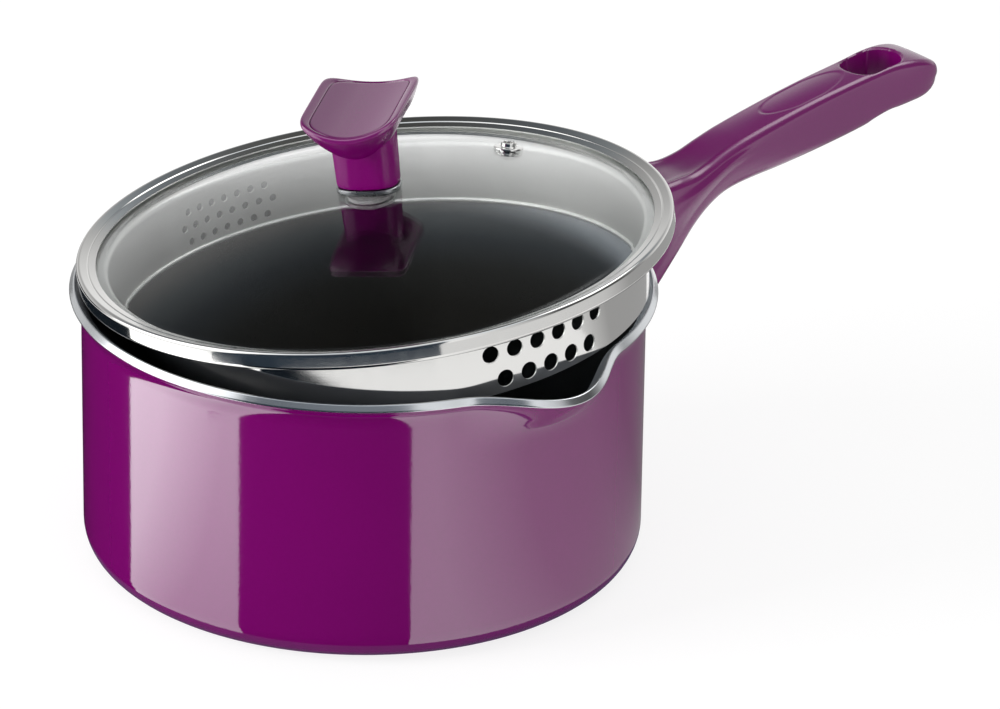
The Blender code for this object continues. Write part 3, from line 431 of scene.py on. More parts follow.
def stadium(run, width, steps=24):
    """A flat outline with two straight sides and round ends, its length along the first axis."""
    radius = width / 2
    shift = run / 2 - radius
    outline = []
    for centre, start in ((shift, -math.pi / 2), (-shift, math.pi / 2)):
        for step in range(steps + 1):
            angle = start + math.pi * step / steps
            outline.append((centre + radius * math.cos(angle), radius * math.sin(angle)))
    return outline


def cylinder_piece(name, radius, start, end, sides=SMALL_STEPS):
    start = Vector(start)
    run = Vector(end) - start
    place = Matrix.Translation(start + run / 2) @ run.to_track_quat("Z", "Y").to_matrix().to_4x4()
    bm = bmesh.new()
    bmesh.ops.create_cone(
        bm, cap_ends=True, segments=sides, radius1=radius, radius2=radius, depth=run.length, matrix=place
    )
    return mesh_piece(name, bm)


def settle(piece):
    """Turn the piece's modifiers into its mesh."""
    bpy.context.view_layer.update()
    evaluated = piece.evaluated_get(bpy.context.evaluated_depsgraph_get())
    mesh = bpy.data.meshes.new_from_object(evaluated)
    piece.modifiers.clear()
    piece.data = mesh
    return piece


def cut(piece, *cutters):
    """Take the cutters out of the piece and remove them."""
    for cutter in cutters:
        modifier = piece.modifiers.new("cut", "BOOLEAN")
        modifier.operation = "DIFFERENCE"
        modifier.solver = "EXACT"
        modifier.object = cutter
    settle(piece)
    for cutter in cutters:
        bpy.data.objects.remove(cutter, do_unlink=True)
    return piece


def paint(piece, material):
    """Give the piece one material in place of any that it has."""
    piece.data.materials.clear()
    piece.data.materials.append(material)


def finish_piece(piece, body, nodes, material=None, place=None, sharp=SHARP_ANGLE):
    """Lay a finished piece in the frame, smooth it, give it its finish and let it ride on its body."""
    if place:
        piece.data.transform(place)
    piece.data.shade_smooth()
    piece.data.set_sharp_from_angle(angle=sharp)
    if material:
        paint(piece, material)
    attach(piece, body)
    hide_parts(*nodes)


def smooth_step(share):
    share = min(max(share, 0.0), 1.0)
    return share * share * (3 - 2 * share)


def smooth_keys(rows, at):
    """Read a table of rows at any place, on a smooth curve through its rows."""
    last = len(rows) - 1
    index = 0
    while index < last - 1 and at > rows[index + 1][0]:
        index += 1
    start, end = rows[index], rows[index + 1]
    before, after = rows[max(index - 1, 0)], rows[min(index + 2, last)]
    span = end[0] - start[0]
    share = (at - start[0]) / span
    values = []
    for column in range(1, len(start)):
        leave = (end[column] - before[column]) / (end[0] - before[0]) * span
        arrive = (after[column] - start[column]) / (after[0] - start[0]) * span
        values.append(
            (2 * share**3 - 3 * share**2 + 1) * start[column]
            + (share**3 - 2 * share**2 + share) * leave
            + (3 * share**2 - 2 * share**3) * end[column]
            + (share**3 - share**2) * arrive
        )
    return values


# Node helpers


class Nodes:
    """Short calls that add nodes to one tree and join them."""

    def __init__(self, tree):
        self.tree = tree

    def join(self, source, target):
        self.tree.links.new(source, target)

    def add(self, kind, inputs=None, **values):
        node = self.tree.nodes.new(kind)
        for name, value in values.items():
            setattr(node, name, value)
        for name, value in (inputs or {}).items():
            self.feed(node.inputs[name], value)
        return node

    def feed(self, socket, value):
        if isinstance(value, bpy.types.NodeSocket):
            self.join(value, socket)
        else:
            socket.default_value = value

    def math(self, operation, *values):
        node = self.add("ShaderNodeMath", operation=operation)
        for socket, value in zip(node.inputs, values):
            self.feed(socket, value)
        return node.outputs[0]

    def remap(self, value, low, high, to_low=0.0, to_high=1.0, kind="LINEAR"):
        """Map a range of values onto another, held at both ends."""
        inputs = {"Value": value, "From Min": low, "From Max": high, "To Min": to_low, "To Max": to_high}
        return self.add("ShaderNodeMapRange", inputs, interpolation_type=kind).outputs["Result"]

    def vector_math(self, operation, inputs, output="Vector"):
        return self.add("ShaderNodeVectorMath", inputs, operation=operation).outputs[output]

    def split(self, vector):
        return self.add("ShaderNodeSeparateXYZ", {"Vector": vector}).outputs

    def combine(self, x=0.0, y=0.0, z=0.0):
        return self.add("ShaderNodeCombineXYZ", {"X": x, "Y": y, "Z": z}).outputs[0]

    def product(self, first, *others):
        """All values multiplied."""
        for value in others:
            first = self.math("MULTIPLY", first, value)
        return first

    def polar(self, angle, reach, up):
        """The point at an angle round Z, at a distance from it and at a height."""
        return self.combine(
            self.math("MULTIPLY", reach, self.math("COSINE", angle)),
            self.math("MULTIPLY", reach, self.math("SINE", angle)),
            up,
        )

    def realize(self, shape):
        return self.add("GeometryNodeRealizeInstances", {"Geometry": shape}).outputs[0]

    def mix_shader(self, amount, first, second):
        return self.add("ShaderNodeMixShader", {0: amount, 1: first, 2: second}).outputs[0]

    def mix_colour(self, amount, first, second):
        node = self.add("ShaderNodeMix", data_type="RGBA")
        self.feed(node.inputs["Factor"], amount)
        self.feed(node.inputs[6], first)
        self.feed(node.inputs[7], second)
        return node.outputs[2]


def new_group(name, kind, inputs, outputs=(("Geometry", "NodeSocketGeometry"),)):
    """An empty node group with named sockets: (name, socket type, default) and (name, socket type)."""
    tree = bpy.data.node_groups.new(name, kind)
    for label, socket_type, default in inputs:
        socket = tree.interface.new_socket(label, in_out="INPUT", socket_type=socket_type)
        if default is not None:
            socket.default_value = default
    for label, socket_type in outputs:
        tree.interface.new_socket(label, in_out="OUTPUT", socket_type=socket_type)
    nodes = Nodes(tree)
    return nodes, nodes.add("NodeGroupInput").outputs, nodes.add("NodeGroupOutput").inputs


def shape_group(name, sizes, materials):
    """An empty Geometry Nodes tree that takes a shape, sizes and materials by their names."""
    inputs = [("Geometry", "NodeSocketGeometry", None)]
    inputs += [(label, "NodeSocketFloat", 0.0) for label in sizes]
    inputs += [(label, "NodeSocketMaterial", None) for label in materials]
    return new_group(name, "GeometryNodeTree", inputs)


def set_finishes(nodes, shape, given, labels):
    """Give the faces of each finish number the material of that place in the list."""
    number = nodes.add("GeometryNodeInputNamedAttribute", {"Name": "finish"}, data_type="INT")
    for index, label in enumerate(labels):
        inputs = {2: number.outputs["Attribute"], 3: index}
        chosen = nodes.add("FunctionNodeCompare", inputs, data_type="INT", operation="EQUAL").outputs[0]
        inputs = {"Geometry": shape, "Selection": chosen, "Material": given[label]}
        shape = nodes.add("GeometryNodeSetMaterial", inputs).outputs[0]
    return shape


def shape_by_nodes(piece, tree, sizes):
    """Shape a piece by a Geometry Nodes tree, each of whose inputs is named after a size or a material."""
    modifier = piece.modifiers.new(tree.name, "NODES")
    modifier.node_group = tree
    for socket in tree.interface.items_tree:
        if socket.in_out == "OUTPUT" or socket.socket_type == "NodeSocketGeometry":
            continue
        name = socket.name.lower().replace(" ", "_")
        is_material = socket.socket_type == "NodeSocketMaterial"
        modifier[socket.identifier] = material_named(name) if is_material else getattr(sizes, name)
    settle(piece)


# Shader groups


def mottle_group():
    """Soft and fine noise together: a height for a Bump node and a mask for roughness or colour."""
    if "soft_mottle" in bpy.data.node_groups:
        return bpy.data.node_groups["soft_mottle"]
    inputs = [
        ("Vector", "NodeSocketVector", None),
        ("Fine Scale", "NodeSocketFloat", 900.0),
        ("Broad Scale", "NodeSocketFloat", 20.0),
        ("Broad Share", "NodeSocketFloat", 0.3),
    ]
    outputs = [("Height", "NodeSocketFloat"), ("Mask", "NodeSocketFloat")]
    nodes, given, wanted = new_group("soft_mottle", "ShaderNodeTree", inputs, outputs)
    place, share = given["Vector"], given["Broad Share"]
    fine = nodes.add("ShaderNodeTexNoise", {"Vector": place, "Scale": given["Fine Scale"], "Detail": 2.0})
    broad = nodes.add("ShaderNodeTexNoise", {"Vector": place, "Scale": given["Broad Scale"], "Detail": 3.0})
    fine_part = nodes.math("MULTIPLY", fine.outputs["Fac"], nodes.math("SUBTRACT", 1.0, share))
    mask = nodes.math("MULTIPLY_ADD", broad.outputs["Fac"], share, fine_part)
    nodes.join(fine.outputs["Fac"], wanted["Height"])
    nodes.join(mask, wanted["Mask"])
    return nodes.tree


def turning_group():
    """Fine lines that run round an axis, as turning and polishing leave them."""
    if "turning_lines" in bpy.data.node_groups:
        return bpy.data.node_groups["turning_lines"]
    inputs = [
        ("Vector", "NodeSocketVector", None),
        ("Line Scale", "NodeSocketFloat", 1500.0),
        ("Waver", "NodeSocketFloat", 6.0),
    ]
    outputs = [("Height", "NodeSocketFloat")]
    nodes, given, wanted = new_group("turning_lines", "ShaderNodeTree", inputs, outputs)
    parts = nodes.split(given["Vector"])
    squares = [nodes.math("POWER", parts[axis], 2.0) for axis in "XY"]
    across = nodes.math("SQRT", nodes.math("ADD", *squares))
    rolled = nodes.combine(
        nodes.math("MULTIPLY", across, given["Line Scale"]),
        nodes.math("MULTIPLY", parts["Z"], given["Line Scale"]),
        nodes.math("MULTIPLY", nodes.math("ARCTAN2", parts["Y"], parts["X"]), given["Waver"]),
    )
    lines = nodes.add("ShaderNodeTexNoise", {"Vector": rolled, "Scale": 1.0, "Detail": 2.0})
    nodes.join(lines.outputs["Fac"], wanted["Height"])
    return nodes.tree


# Materials


def new_material(name):
    """A node material with its Principled shader and Object coordinates."""
    material = bpy.data.materials.new(name)
    material.use_nodes = True
    tree = material.node_tree
    shader = tree.nodes["Principled BSDF"]
    nodes = Nodes(tree)
    place = nodes.add("ShaderNodeTexCoord").outputs["Object"]
    return material, nodes, shader, place


def set_shader(shader, **values):
    """Set the shader's sockets by their names in small letters."""
    for name, value in values.items():
        socket = shader.inputs[name.replace("_", " ").title().replace("Ior", "IOR")]
        socket.default_value = (*value, 1.0) if isinstance(value, (tuple, list)) else value


def grain(nodes, place, fine, broad, share):
    """The mottle group's height and mask, for a fine scale, a broad scale and the broad one's share."""
    group = nodes.add("ShaderNodeGroup", node_tree=mottle_group())
    values = {"Vector": place, "Fine Scale": fine, "Broad Scale": broad, "Broad Share": share}
    for name, value in values.items():
        nodes.feed(group.inputs[name], value)
    return group.outputs


def spread(nodes, mask, low, high):
    """Map a 0 to 1 mask's middle range to a range of values."""
    return nodes.remap(mask, 0.3, 0.7, low, high)


def bump(nodes, shader, height, strength, distance):
    """Roughen the surface and its coat by a height."""
    node = nodes.add("ShaderNodeBump", {"Height": height, "Strength": strength, "Distance": distance})
    nodes.join(node.outputs["Normal"], shader.inputs["Normal"])
    nodes.join(node.outputs["Normal"], shader.inputs["Coat Normal"])


def tint(nodes, shader, mask, base, change):
    """Vary the base colour a little with a mask."""
    low = [max(part * (1 - change), 0) for part in base]
    high = [min(part * (1 + change), 1) for part in base]
    mixed = nodes.mix_colour(spread(nodes, mask, 0.0, 1.0), (*low, 1.0), (*high, 1.0))
    nodes.join(mixed, shader.inputs["Base Color"])


def enamel_material():
    """Glossy enamel: a deep colour under a clear, very slightly rippled coat."""
    material, nodes, shader, place = new_material("gloss_enamel")
    set_shader(shader, specular_ior_level=0.0, coat_weight=1.0, coat_roughness=0.075, coat_ior=2.2)
    look = grain(nodes, place, fine=620.0, broad=14.0, share=0.6)
    tint(nodes, shader, look["Mask"], settings("finish").enamel, change=0.05)
    bump(nodes, shader, look["Height"], strength=0.05, distance=0.0002)
    nodes.join(spread(nodes, look["Mask"], 0.42, 0.5), shader.inputs["Roughness"])
    return material


# Between these depths under the lip, the nonstick coating grows pale: a painted sheen standing in for light
# on the flare
PAINTED_SHEEN_BELOW_LIP = (0.016, 0.003)
# From this height on, the knob grows glossier over this rise
KNOB_GLOSS_FROM, GLOSS_RISE = 0.1600, 0.006


def nonstick_material():
    """Dark satin nonstick with a faint metallic fleck, and a painted sheen that makes it paler towards the
    flare of the lip.
    """
    material, nodes, shader, place = new_material("dark_nonstick")
    finish, lip = settings("finish"), settings("pan").lip_height
    set_shader(shader, specular_ior_level=0.45)
    look = grain(nodes, place, fine=2600.0, broad=30.0, share=0.4)
    tint(nodes, shader, look["Mask"], finish.nonstick, change=0.5)
    dark = shader.inputs["Base Color"].links[0].from_socket
    start, end = [lip - depth for depth in PAINTED_SHEEN_BELOW_LIP]
    # Painted sheen: the colour grows paler with height towards the lip
    painted_sheen = nodes.remap(nodes.split(place)["Z"], start, end, kind="SMOOTHSTEP")
    nodes.join(nodes.mix_colour(painted_sheen, dark, (*finish.nonstick_painted_sheen, 1.0)), shader.inputs["Base Color"])
    nodes.join(spread(nodes, look["Mask"], 0.26, 0.36), shader.inputs["Roughness"])
    bump(nodes, shader, look["Height"], strength=0.12, distance=0.0002)
    return material


def phenolic_material(name, soft, shine, gloss_from=None):
    """Moulded plastic with a very fine texture under a coat of a roughness and an index of refraction.
    It may grow glossier from a height on."""
    material, nodes, shader, place = new_material(name)
    set_shader(shader, specular_ior_level=0.0, coat_weight=1.0, coat_roughness=soft, coat_ior=shine)
    look = grain(nodes, place, fine=1900.0, broad=24.0, share=0.4)
    tint(nodes, shader, look["Mask"], settings("finish").phenolic, change=0.06)
    if gloss_from:
        gloss = nodes.remap(nodes.split(place)["Z"], gloss_from, gloss_from + GLOSS_RISE, 0.3, 1.0)
        nodes.join(gloss, shader.inputs["Coat Weight"])
    nodes.join(spread(nodes, look["Mask"], 0.40, 0.50), shader.inputs["Roughness"])
    bump(nodes, shader, look["Height"], strength=0.10, distance=0.0002)
    return material


def metal_material(name, base, rough, line_scale, line_depth, centre=None, metallic=1.0):
    """Bare metal of a roughness, with fine lines of a scale and a depth round an axis, which a Mapping node
    can lay on the lid's axis."""
    material, nodes, shader, place = new_material(name)
    set_shader(shader, base_color=tuple(base), metallic=metallic)
    if centre:
        mapping = nodes.add("ShaderNodeMapping", {"Vector": place}, vector_type="TEXTURE")
        mapping.inputs["Location"].default_value = centre.translation
        mapping.inputs["Rotation"].default_value = centre.to_euler()
        place = mapping.outputs["Vector"]
    look = grain(nodes, place, fine=300.0, broad=16.0, share=0.7)
    nodes.join(spread(nodes, look["Mask"], rough * 0.75, rough * 1.3), shader.inputs["Roughness"])
    lines = nodes.add("ShaderNodeGroup", node_tree=turning_group())
    nodes.feed(lines.inputs["Vector"], place)
    nodes.feed(lines.inputs["Line Scale"], line_scale)
    bump(nodes, shader, lines.outputs["Height"], strength=0.10, distance=line_depth)
    return material


def glass_material():
    """Clear tempered glass that lets lamplight through to what is under it."""
    material, nodes, shader, place = new_material("clear_glass")
    set_shader(shader, base_color=tuple(settings("finish").glass), ior=1.5, transmission_weight=1.0)
    look = grain(nodes, place, fine=400.0, broad=9.0, share=0.8)
    nodes.join(spread(nodes, look["Mask"], 0.0, 0.006), shader.inputs["Roughness"])
    shadow_tint = (0.93, 0.95, 0.94, 1.0)
    clear = nodes.add("ShaderNodeBsdfTransparent", {"Color": shadow_tint}).outputs[0]
    shadow = nodes.add("ShaderNodeLightPath").outputs["Is Shadow Ray"]
    surface = nodes.tree.nodes["Material Output"].inputs["Surface"]
    nodes.join(nodes.mix_shader(shadow, shader.outputs["BSDF"], clear), surface)
    return material


def rubber_material():
    """Soft silicone, pale and dull."""
    material, nodes, shader, place = new_material("clear_silicone")
    set_shader(shader, specular_ior_level=0.4)
    look = grain(nodes, place, fine=1500.0, broad=60.0, share=0.4)
    tint(nodes, shader, look["Mask"], settings("finish").silicone, change=0.08)
    nodes.join(spread(nodes, look["Mask"], 0.45, 0.6), shader.inputs["Roughness"])
    bump(nodes, shader, look["Height"], strength=0.1, distance=0.0002)
    return material


MATERIALS = {}


def material_named(name):
    """Make each material once, when a piece first asks for it."""
    finish = settings("finish")
    # Half as bright as bare aluminium, for the collar under the knob and the boss: painted shade
    shaded_aluminium = [0.5 * part for part in finish.bare_aluminium]
    dull_steel = [0.8 * part for part in finish.steel]
    # A paler copy of the ring's steel for the skirt's satin inside: its paler colour is painted light
    painted_light_steel = [1.15 * part for part in finish.steel]
    makers = {
        "enamel": enamel_material,
        "nonstick": nonstick_material,
        "handle": lambda: phenolic_material("satin_phenolic", soft=0.22, shine=2.0),
        "knob": lambda: phenolic_material(
            "gloss_phenolic", soft=0.14, shine=2.2, gloss_from=KNOB_GLOSS_FROM
        ),
        "glass": glass_material,
        "silicone": rubber_material,
        "lip_edge": lambda: metal_material("polished_lip_edge", finish.bare_aluminium, 0.16, 900.0, 0.00003),
        "base_face": lambda: metal_material("turned_base_face", finish.bare_aluminium, 0.30, 420.0, 0.0003),
        "aluminium": lambda: metal_material("bare_aluminium", shaded_aluminium, 0.26, 1500.0, 0.00003),
        "steel": lambda: metal_material("plain_steel", dull_steel, 0.36, 1500.0, 0.00002),
        "ring_steel": lambda: metal_material(
            "polished_ring_steel", finish.steel, 0.075, 700.0, 0.000012, lid_matrix()
        ),
        # The skirt's inside: satin steel, made paler than the ring by painted light
        "ring_inside": lambda: metal_material(
            "satin_ring_inside", painted_light_steel, 0.44, 700.0, 0.00002, lid_matrix(), metallic=0.82
        ),
        "brass": lambda: metal_material("turned_brass", finish.brass, 0.25, 1500.0, 0.00003),
    }
    if name not in MATERIALS:
        MATERIALS[name] = makers[name]()
    return MATERIALS[name]


# Pan shell


def pan_section():
    """The shell's section, and the finish of each of its runs."""
    pan = settings("pan")
    inside = pan.body_radius - pan.wall
    lip_out = pan.body_radius + pan.lip_reach
    lip_low = pan.lip_height - pan.lip_edge * math.sin(pan.lip_turn)
    lip_in = lip_out - pan.lip_edge * math.cos(pan.lip_turn)
    inner_run = (lip_in - inside) / math.sin(pan.lip_turn)
    outer_run = pan.lip_reach / math.sin(pan.lip_turn)
    inner_bend = (inner_run - pan.lip_edge_straight) / math.tan(pan.lip_turn / 2)
    outer_bend = (outer_run - pan.lip_edge_straight) / math.tan(pan.lip_turn / 2)
    inner_foot = pan.lip_height - inner_run * math.cos(pan.lip_turn)
    outer_foot = lip_low - outer_run * math.cos(pan.lip_turn)
    up_inside = rounded_path([
        (0, pan.floor, 0, 0),
        (inside, pan.floor, pan.inner_corner, 10),
        (inside, inner_foot, inner_bend, 12),
        (lip_in, pan.lip_height, pan.lip_edge_round, 5),
        (lip_out, lip_low, pan.lip_edge_round, 5),
        (pan.body_radius, outer_foot, outer_bend, 12),
        (pan.body_radius, 0, pan.base_corner, 14),
        (pan.base_face, 0, 0, 0),
        (pan.base_face - pan.base_bevel, pan.base_sink, 0, 0),
        (0, pan.base_sink, 0, 0),
    ])
    points = split_long(up_inside, longest=0.0032)
    edge_middle = Vector(((lip_in + lip_out) / 2, (pan.lip_height + lip_low) / 2))
    edge_reach = pan.lip_edge / 2 - pan.lip_edge_round * 0.2
    turn_over = min(range(len(points)), key=lambda index: (points[index] - edge_middle).length)

    def finish_of(index):
        middle = (points[index] + points[min(index + 1, len(points) - 1)]) / 2
        if (middle - edge_middle).length < edge_reach:
            return LIP_EDGE
        if index < turn_over:
            return NONSTICK
        if middle.y < pan.base_sink * 1.3 and middle.x < pan.base_face:
            return BASE_FACE
        return ENAMEL

    return points, finish_of


def spout_tree():
    """Geometry Nodes that swing the lip out and down into a spout and give each finish its material."""
    ways = ("Direction", "Half", "Reach", "Drop", "Drop Power", "Depth", "Full")
    sizes = ["Lip Height"] + ["Spout " + way for way in ways]
    nodes, given, wanted = shape_group("pouring_spout", sizes, SHELL_FINISHES)
    place = nodes.split(nodes.add("GeometryNodeInputPosition").outputs[0])
    angle = nodes.math("ARCTAN2", place["Y"], place["X"])
    off = nodes.math("WRAP", nodes.math("SUBTRACT", angle, given["Spout Direction"]), math.pi, -math.pi)
    share = nodes.math("ABSOLUTE", nodes.math("DIVIDE", off, given["Spout Half"]))
    share = nodes.math("MINIMUM", share, 1.0)
    swell = nodes.math("POWER", nodes.math("COSINE", nodes.math("MULTIPLY", share, math.pi / 2)), 2.0)
    start, full = [nodes.math("SUBTRACT", given["Lip Height"], given["Spout " + way]) for way in ways[-2:]]
    fade = nodes.remap(place["Z"], start, full, kind="SMOOTHSTEP")
    out = nodes.product(given["Spout Reach"], swell, fade)
    down = nodes.product(given["Spout Drop"], nodes.math("POWER", swell, given["Spout Drop Power"]), fade)
    move = nodes.polar(angle, out, nodes.math("MULTIPLY", down, -1.0))
    moved = nodes.add("GeometryNodeSetPosition", {"Geometry": given["Geometry"], "Offset": move})
    shape = set_finishes(nodes, nodes.realize(moved.outputs[0]), given, SHELL_FINISHES)
    nodes.join(shape, wanted["Geometry"])
    return nodes.tree


def make_pan_shell():
    points, finish_of = pan_section()
    shell = turned_piece("pan_shell", points, BODY_STEPS, closed=False, finish_of=finish_of)
    shape_by_nodes(shell, spout_tree(), settings("pan"))
    finish_piece(shell, "pan", ["pan_body"])


# Handle


def handle_keys():
    """The handle's sizes along its length, out from the pan's wall."""
    run = settings("handle").length
    return list(HANDLE_ROOT) + [(run - row[0], *row[1:]) for row in HANDLE_GRIP]


def hole_distance(out, across, handle):
    """How far a place on the handle's top is out of the hanging hole's rim."""
    radius = handle.hole_width / 2
    straight = handle.hole_length / 2 - radius
    along = abs(out - (handle.length - handle.hole_from_tip))
    return math.hypot(max(along - straight, 0), across) - radius


def top_drop(out, across, handle):
    """How far the top is sunk at a place: the bare oval, its softer near end and the hole's rounded rim."""
    back = handle.length - handle.panel_from_tip - out
    half = handle.panel_length / 2
    share = math.hypot(back / half, across / (handle.panel_width / 2))
    near_end = smooth_step(back / half * 4 - 2.8)
    drop = smooth_step((1.04 - share) / 0.08) + near_end * max(0, 1 - abs(share - 0.97) / 0.06)
    return handle.panel_depth * drop + rim_drop(out, across, handle)


def rim_drop(out, across, handle):
    """How far a face is sunk at a place by the rounded rim of the hanging hole."""
    near = min(max(hole_distance(out, across, handle), 0) / handle.hole_round, 1)
    return handle.hole_round * (1 - math.sqrt(max(1 - (1 - near) ** 2, 0)))


def fading(out, gone, over):
    """1 near the pan, and smoothly down to 0 over a stretch that ends where it is gone."""
    return smooth_step((gone - out) / over)


def handle_section(out, keys, handle, lip_height):
    """One closed section of the handle, as (across, up from the base) points. The lengths along it are out
    from the pan's wall."""
    crease, low, top, under, crown = smooth_keys(keys, out)
    in_tip = max(out - handle.length + handle.tip_round, 0) / handle.tip_round
    left = 1 - (1 - handle.tip_shrink) * (1 - math.sqrt(max(1 - in_tip**2.2, 0)))
    crease, low = crease * left, low * left
    middle, half_height = lip_height + (top + under) / 2, (top - under) / 2 * left
    top, under = middle + half_height, middle - half_height
    half = []

    # The top, flat or dished near the pan and crowned beyond
    crease_round = handle.crease_round * (1 + handle.crease_swell * fading(out, 0.13, 0.07))
    flat_power = 2 + 2 * fading(out, 0.07, 0.03)
    dish_end = min(max(1 - (out - 0.003) / 0.012, 0), 1) ** 2 if crown < 0 else 0
    for step in range(TOP_STEPS):
        share = step / TOP_STEPS
        across = (crease - crease_round) * share
        sink = crown * max(1 - share**flat_power - dish_end, 0)
        half.append((across, top + sink - top_drop(out, across, handle)))
    for step in range(ROUND_STEPS):
        angle = math.pi / 2 * (1 - step / (ROUND_STEPS - 1))
        across = crease - crease_round * (1 - math.cos(angle))
        up = top - crease_round * (1 - math.sin(angle))
        half.append((across, up - rim_drop(out, across, handle) * math.sin(angle)))

    # The side, with the soft ridge that runs down the root's flank
    side_top, side_low = top - crease_round, under + handle.lower_round
    ridge_at = top - 0.002 - half_height * fading(out, 0.080, 0.075)
    ridge_on = handle.ridge * fading(out, 0.088, 0.03)
    for step in range(1, SIDE_STEPS):
        share = step / SIDE_STEPS
        up = side_top + (side_low - side_top) * share
        across = crease + (low - crease) * share + 4 * handle.flank_bulge * share * (1 - share)
        ridge = max(0, 1 - (abs(up - ridge_at) / (0.6 * half_height)) ** 1.4)
        half.append((across + ridge_on * ridge * min(1, share * 5, (1 - share) * 5), up))

    # The lower rounding and the underside
    for step in range(ROUND_STEPS):
        angle = math.pi / 2 * step / (ROUND_STEPS - 1)
        across = low - handle.lower_round * (1 - math.cos(angle))
        half.append((across, side_low - handle.lower_round * math.sin(angle)))
    for step in range(1, UNDER_STEPS + 1):
        across = (low - handle.lower_round) * (1 - step / UNDER_STEPS)
        half.append((across, under + rim_drop(out, across, handle)))
    return half + [(-across, up) for across, up in reversed(half[1:-1])]


def handle_stations(handle):
    """Where the handle's sections stand, closer together round the tip."""
    tip_start = handle.length - handle.tip_round
    count, tip_steps = 240, 26
    stations = [handle.start + (tip_start - handle.start) * step / count for step in range(count)]
    for step in range(tip_steps + 1):
        stations.append(tip_start + handle.tip_round * math.sin(math.pi / 2 * step / tip_steps))
    return stations


def clearance_cutter():
    """A turned shape that follows the pan's outside and lip at a small gap."""
    pan, handle = settings("pan"), settings("handle")
    lip = pan.body_radius + pan.lip_reach + handle.lip_gap
    lip_low = pan.lip_height - pan.lip_edge * math.sin(pan.lip_turn)
    wall = pan.body_radius + handle.wall_gap
    above, below = 0.3, -0.02
    points = rounded_path([
        (0, above, 0, 0),
        (lip, above, 0, 0),
        (lip, lip_low - pan.lip_reach / 2, 0.004, 6),
        (wall, lip_low - pan.lip_reach * 3, 0.012, 6),
        (wall, below, 0, 0),
        (0, below, 0, 0),
    ])
    return turned_piece("pan_clearance", points, BODY_STEPS, closed=False)


def make_handle():
    pan, handle = settings("pan"), settings("handle")
    keys = handle_keys()
    rings = []
    for out in handle_stations(handle):
        section = handle_section(out, keys, handle, pan.lip_height)
        rings.append([(pan.body_radius + out, across, up) for across, up in section])
    grip = lofted_piece("handle_grip", rings)
    middle = pan.body_radius + handle.length - handle.hole_from_tip
    outline = stadium(handle.hole_length, handle.hole_width)
    below, above = 0.05, 0.16
    hole = lofted_piece("hanging_hole", [[(middle + x, y, up) for x, y in outline] for up in (below, above)])
    low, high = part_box("handle_screw")
    height = (low.z + high.z) / 2
    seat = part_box("handle_lock_washer")[0].x - settings("knob").gap
    mouth = seat + handle.counterbore_reach
    counterbore = cylinder_piece("counterbore", handle.counterbore, (seat, 0, height), (mouth, 0, height))
    shank = cylinder_piece("shank_hole", handle.shank_hole, (low.x, 0, height), (seat + OVERCUT, 0, height))
    cut(grip, clearance_cutter(), hole, counterbore, shank)
    finish_piece(grip, "pan", ["handle"], material_named("handle"), sharp=math.radians(38))


# Lid


def ring_line():
    """The outer face of the ring's sheet, from the flange's inner edge to the hem of the skirt."""
    lid = settings("lid")
    return rounded_path([
        (lid.ring_radius - lid.flange, -lid.flange_drop, 0, 0),
        (lid.ring_radius, 0, lid.fascia_round, 7),
        (lid.ring_radius, -lid.fascia, lid.fascia_round, 6),
        (lid.skirt_radius, -lid.fascia, lid.ledge_round, 6),
        (lid.skirt_radius, -lid.skirt_depth, 0, 0),
    ])


def stepped_flange(line):
    """The same line with one fine pressed step halfway along the flange."""
    before, lowest, after = [line[0].lerp(line[1], share) for share in (0.44, 0.50, 0.55)]
    lowest.y -= settings("lid").flange_step
    return [line[0], before, lowest, after, *line[1:]]


def lid_matrix():
    """The lid's frame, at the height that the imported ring's highest point gives."""
    lid = settings("lid")
    high_side = polar(lid.high_side)
    lean = Vector((high_side.y, -high_side.x, 0))
    rise = max(point.x * math.sin(lid.tilt) + point.y * math.cos(lid.tilt) for point in ring_line())
    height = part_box("lid_ring")[1].z - rise
    place = Matrix.Translation(high_side * lid.shift + Vector((0, 0, height)))
    return place @ Matrix.Rotation(lid.tilt, 4, lean) @ Matrix.Rotation(lid.turn, 4, "Z")


# The sizes that each kind of strainer hole has
HOLE_SIZES = ("Radius", "Pitch", "Direction")
# How far the cutters of the holes reach through the skirt, and their sides
HOLE_REACH, HOLE_SIDES = 0.008, 40
# Each row of holes: kind, number of holes, depth under the ring's top edge
STRAINER_ROWS = (
    ("Coarse", 6, 0.0145),
    ("Coarse", 5, 0.0245),
    ("Fine", 7, 0.0138),
    ("Fine", 8, 0.0194),
    ("Fine", 7, 0.0250),
)


def hole_row_tree():
    """Geometry Nodes for one row of round cutters that stand through the skirt."""
    inputs = [("Count", "NodeSocketInt", 6)]
    inputs += [(label, "NodeSocketFloat", 0.0) for label in ("Depth", "Skirt Radius", *HOLE_SIZES)]
    nodes, given, wanted = new_group("hole_row", "GeometryNodeTree", inputs)
    index = nodes.add("GeometryNodeInputIndex").outputs[0]
    half = nodes.math("DIVIDE", nodes.math("SUBTRACT", given["Count"], 1.0), 2.0)
    step = nodes.math("DIVIDE", given["Pitch"], given["Skirt Radius"])
    angle = nodes.math("MULTIPLY_ADD", nodes.math("SUBTRACT", index, half), step, given["Direction"])
    place = nodes.polar(angle, given["Skirt Radius"], nodes.math("MULTIPLY", given["Depth"], -1.0))
    points = nodes.add("GeometryNodePoints", {"Count": given["Count"], "Position": place}).outputs[0]
    size = {"Vertices": HOLE_SIDES, "Radius": given["Radius"], "Depth": HOLE_REACH}
    cutter = nodes.add("GeometryNodeMeshCylinder", size).outputs["Mesh"]
    turn = nodes.add("FunctionNodeEulerToRotation", {0: nodes.combine(y=math.pi / 2, z=angle)}).outputs[0]
    inputs = {"Points": points, "Instance": cutter, "Rotation": turn}
    placed = nodes.add("GeometryNodeInstanceOnPoints", inputs).outputs[0]
    nodes.join(nodes.realize(placed), wanted["Geometry"])
    return nodes.tree


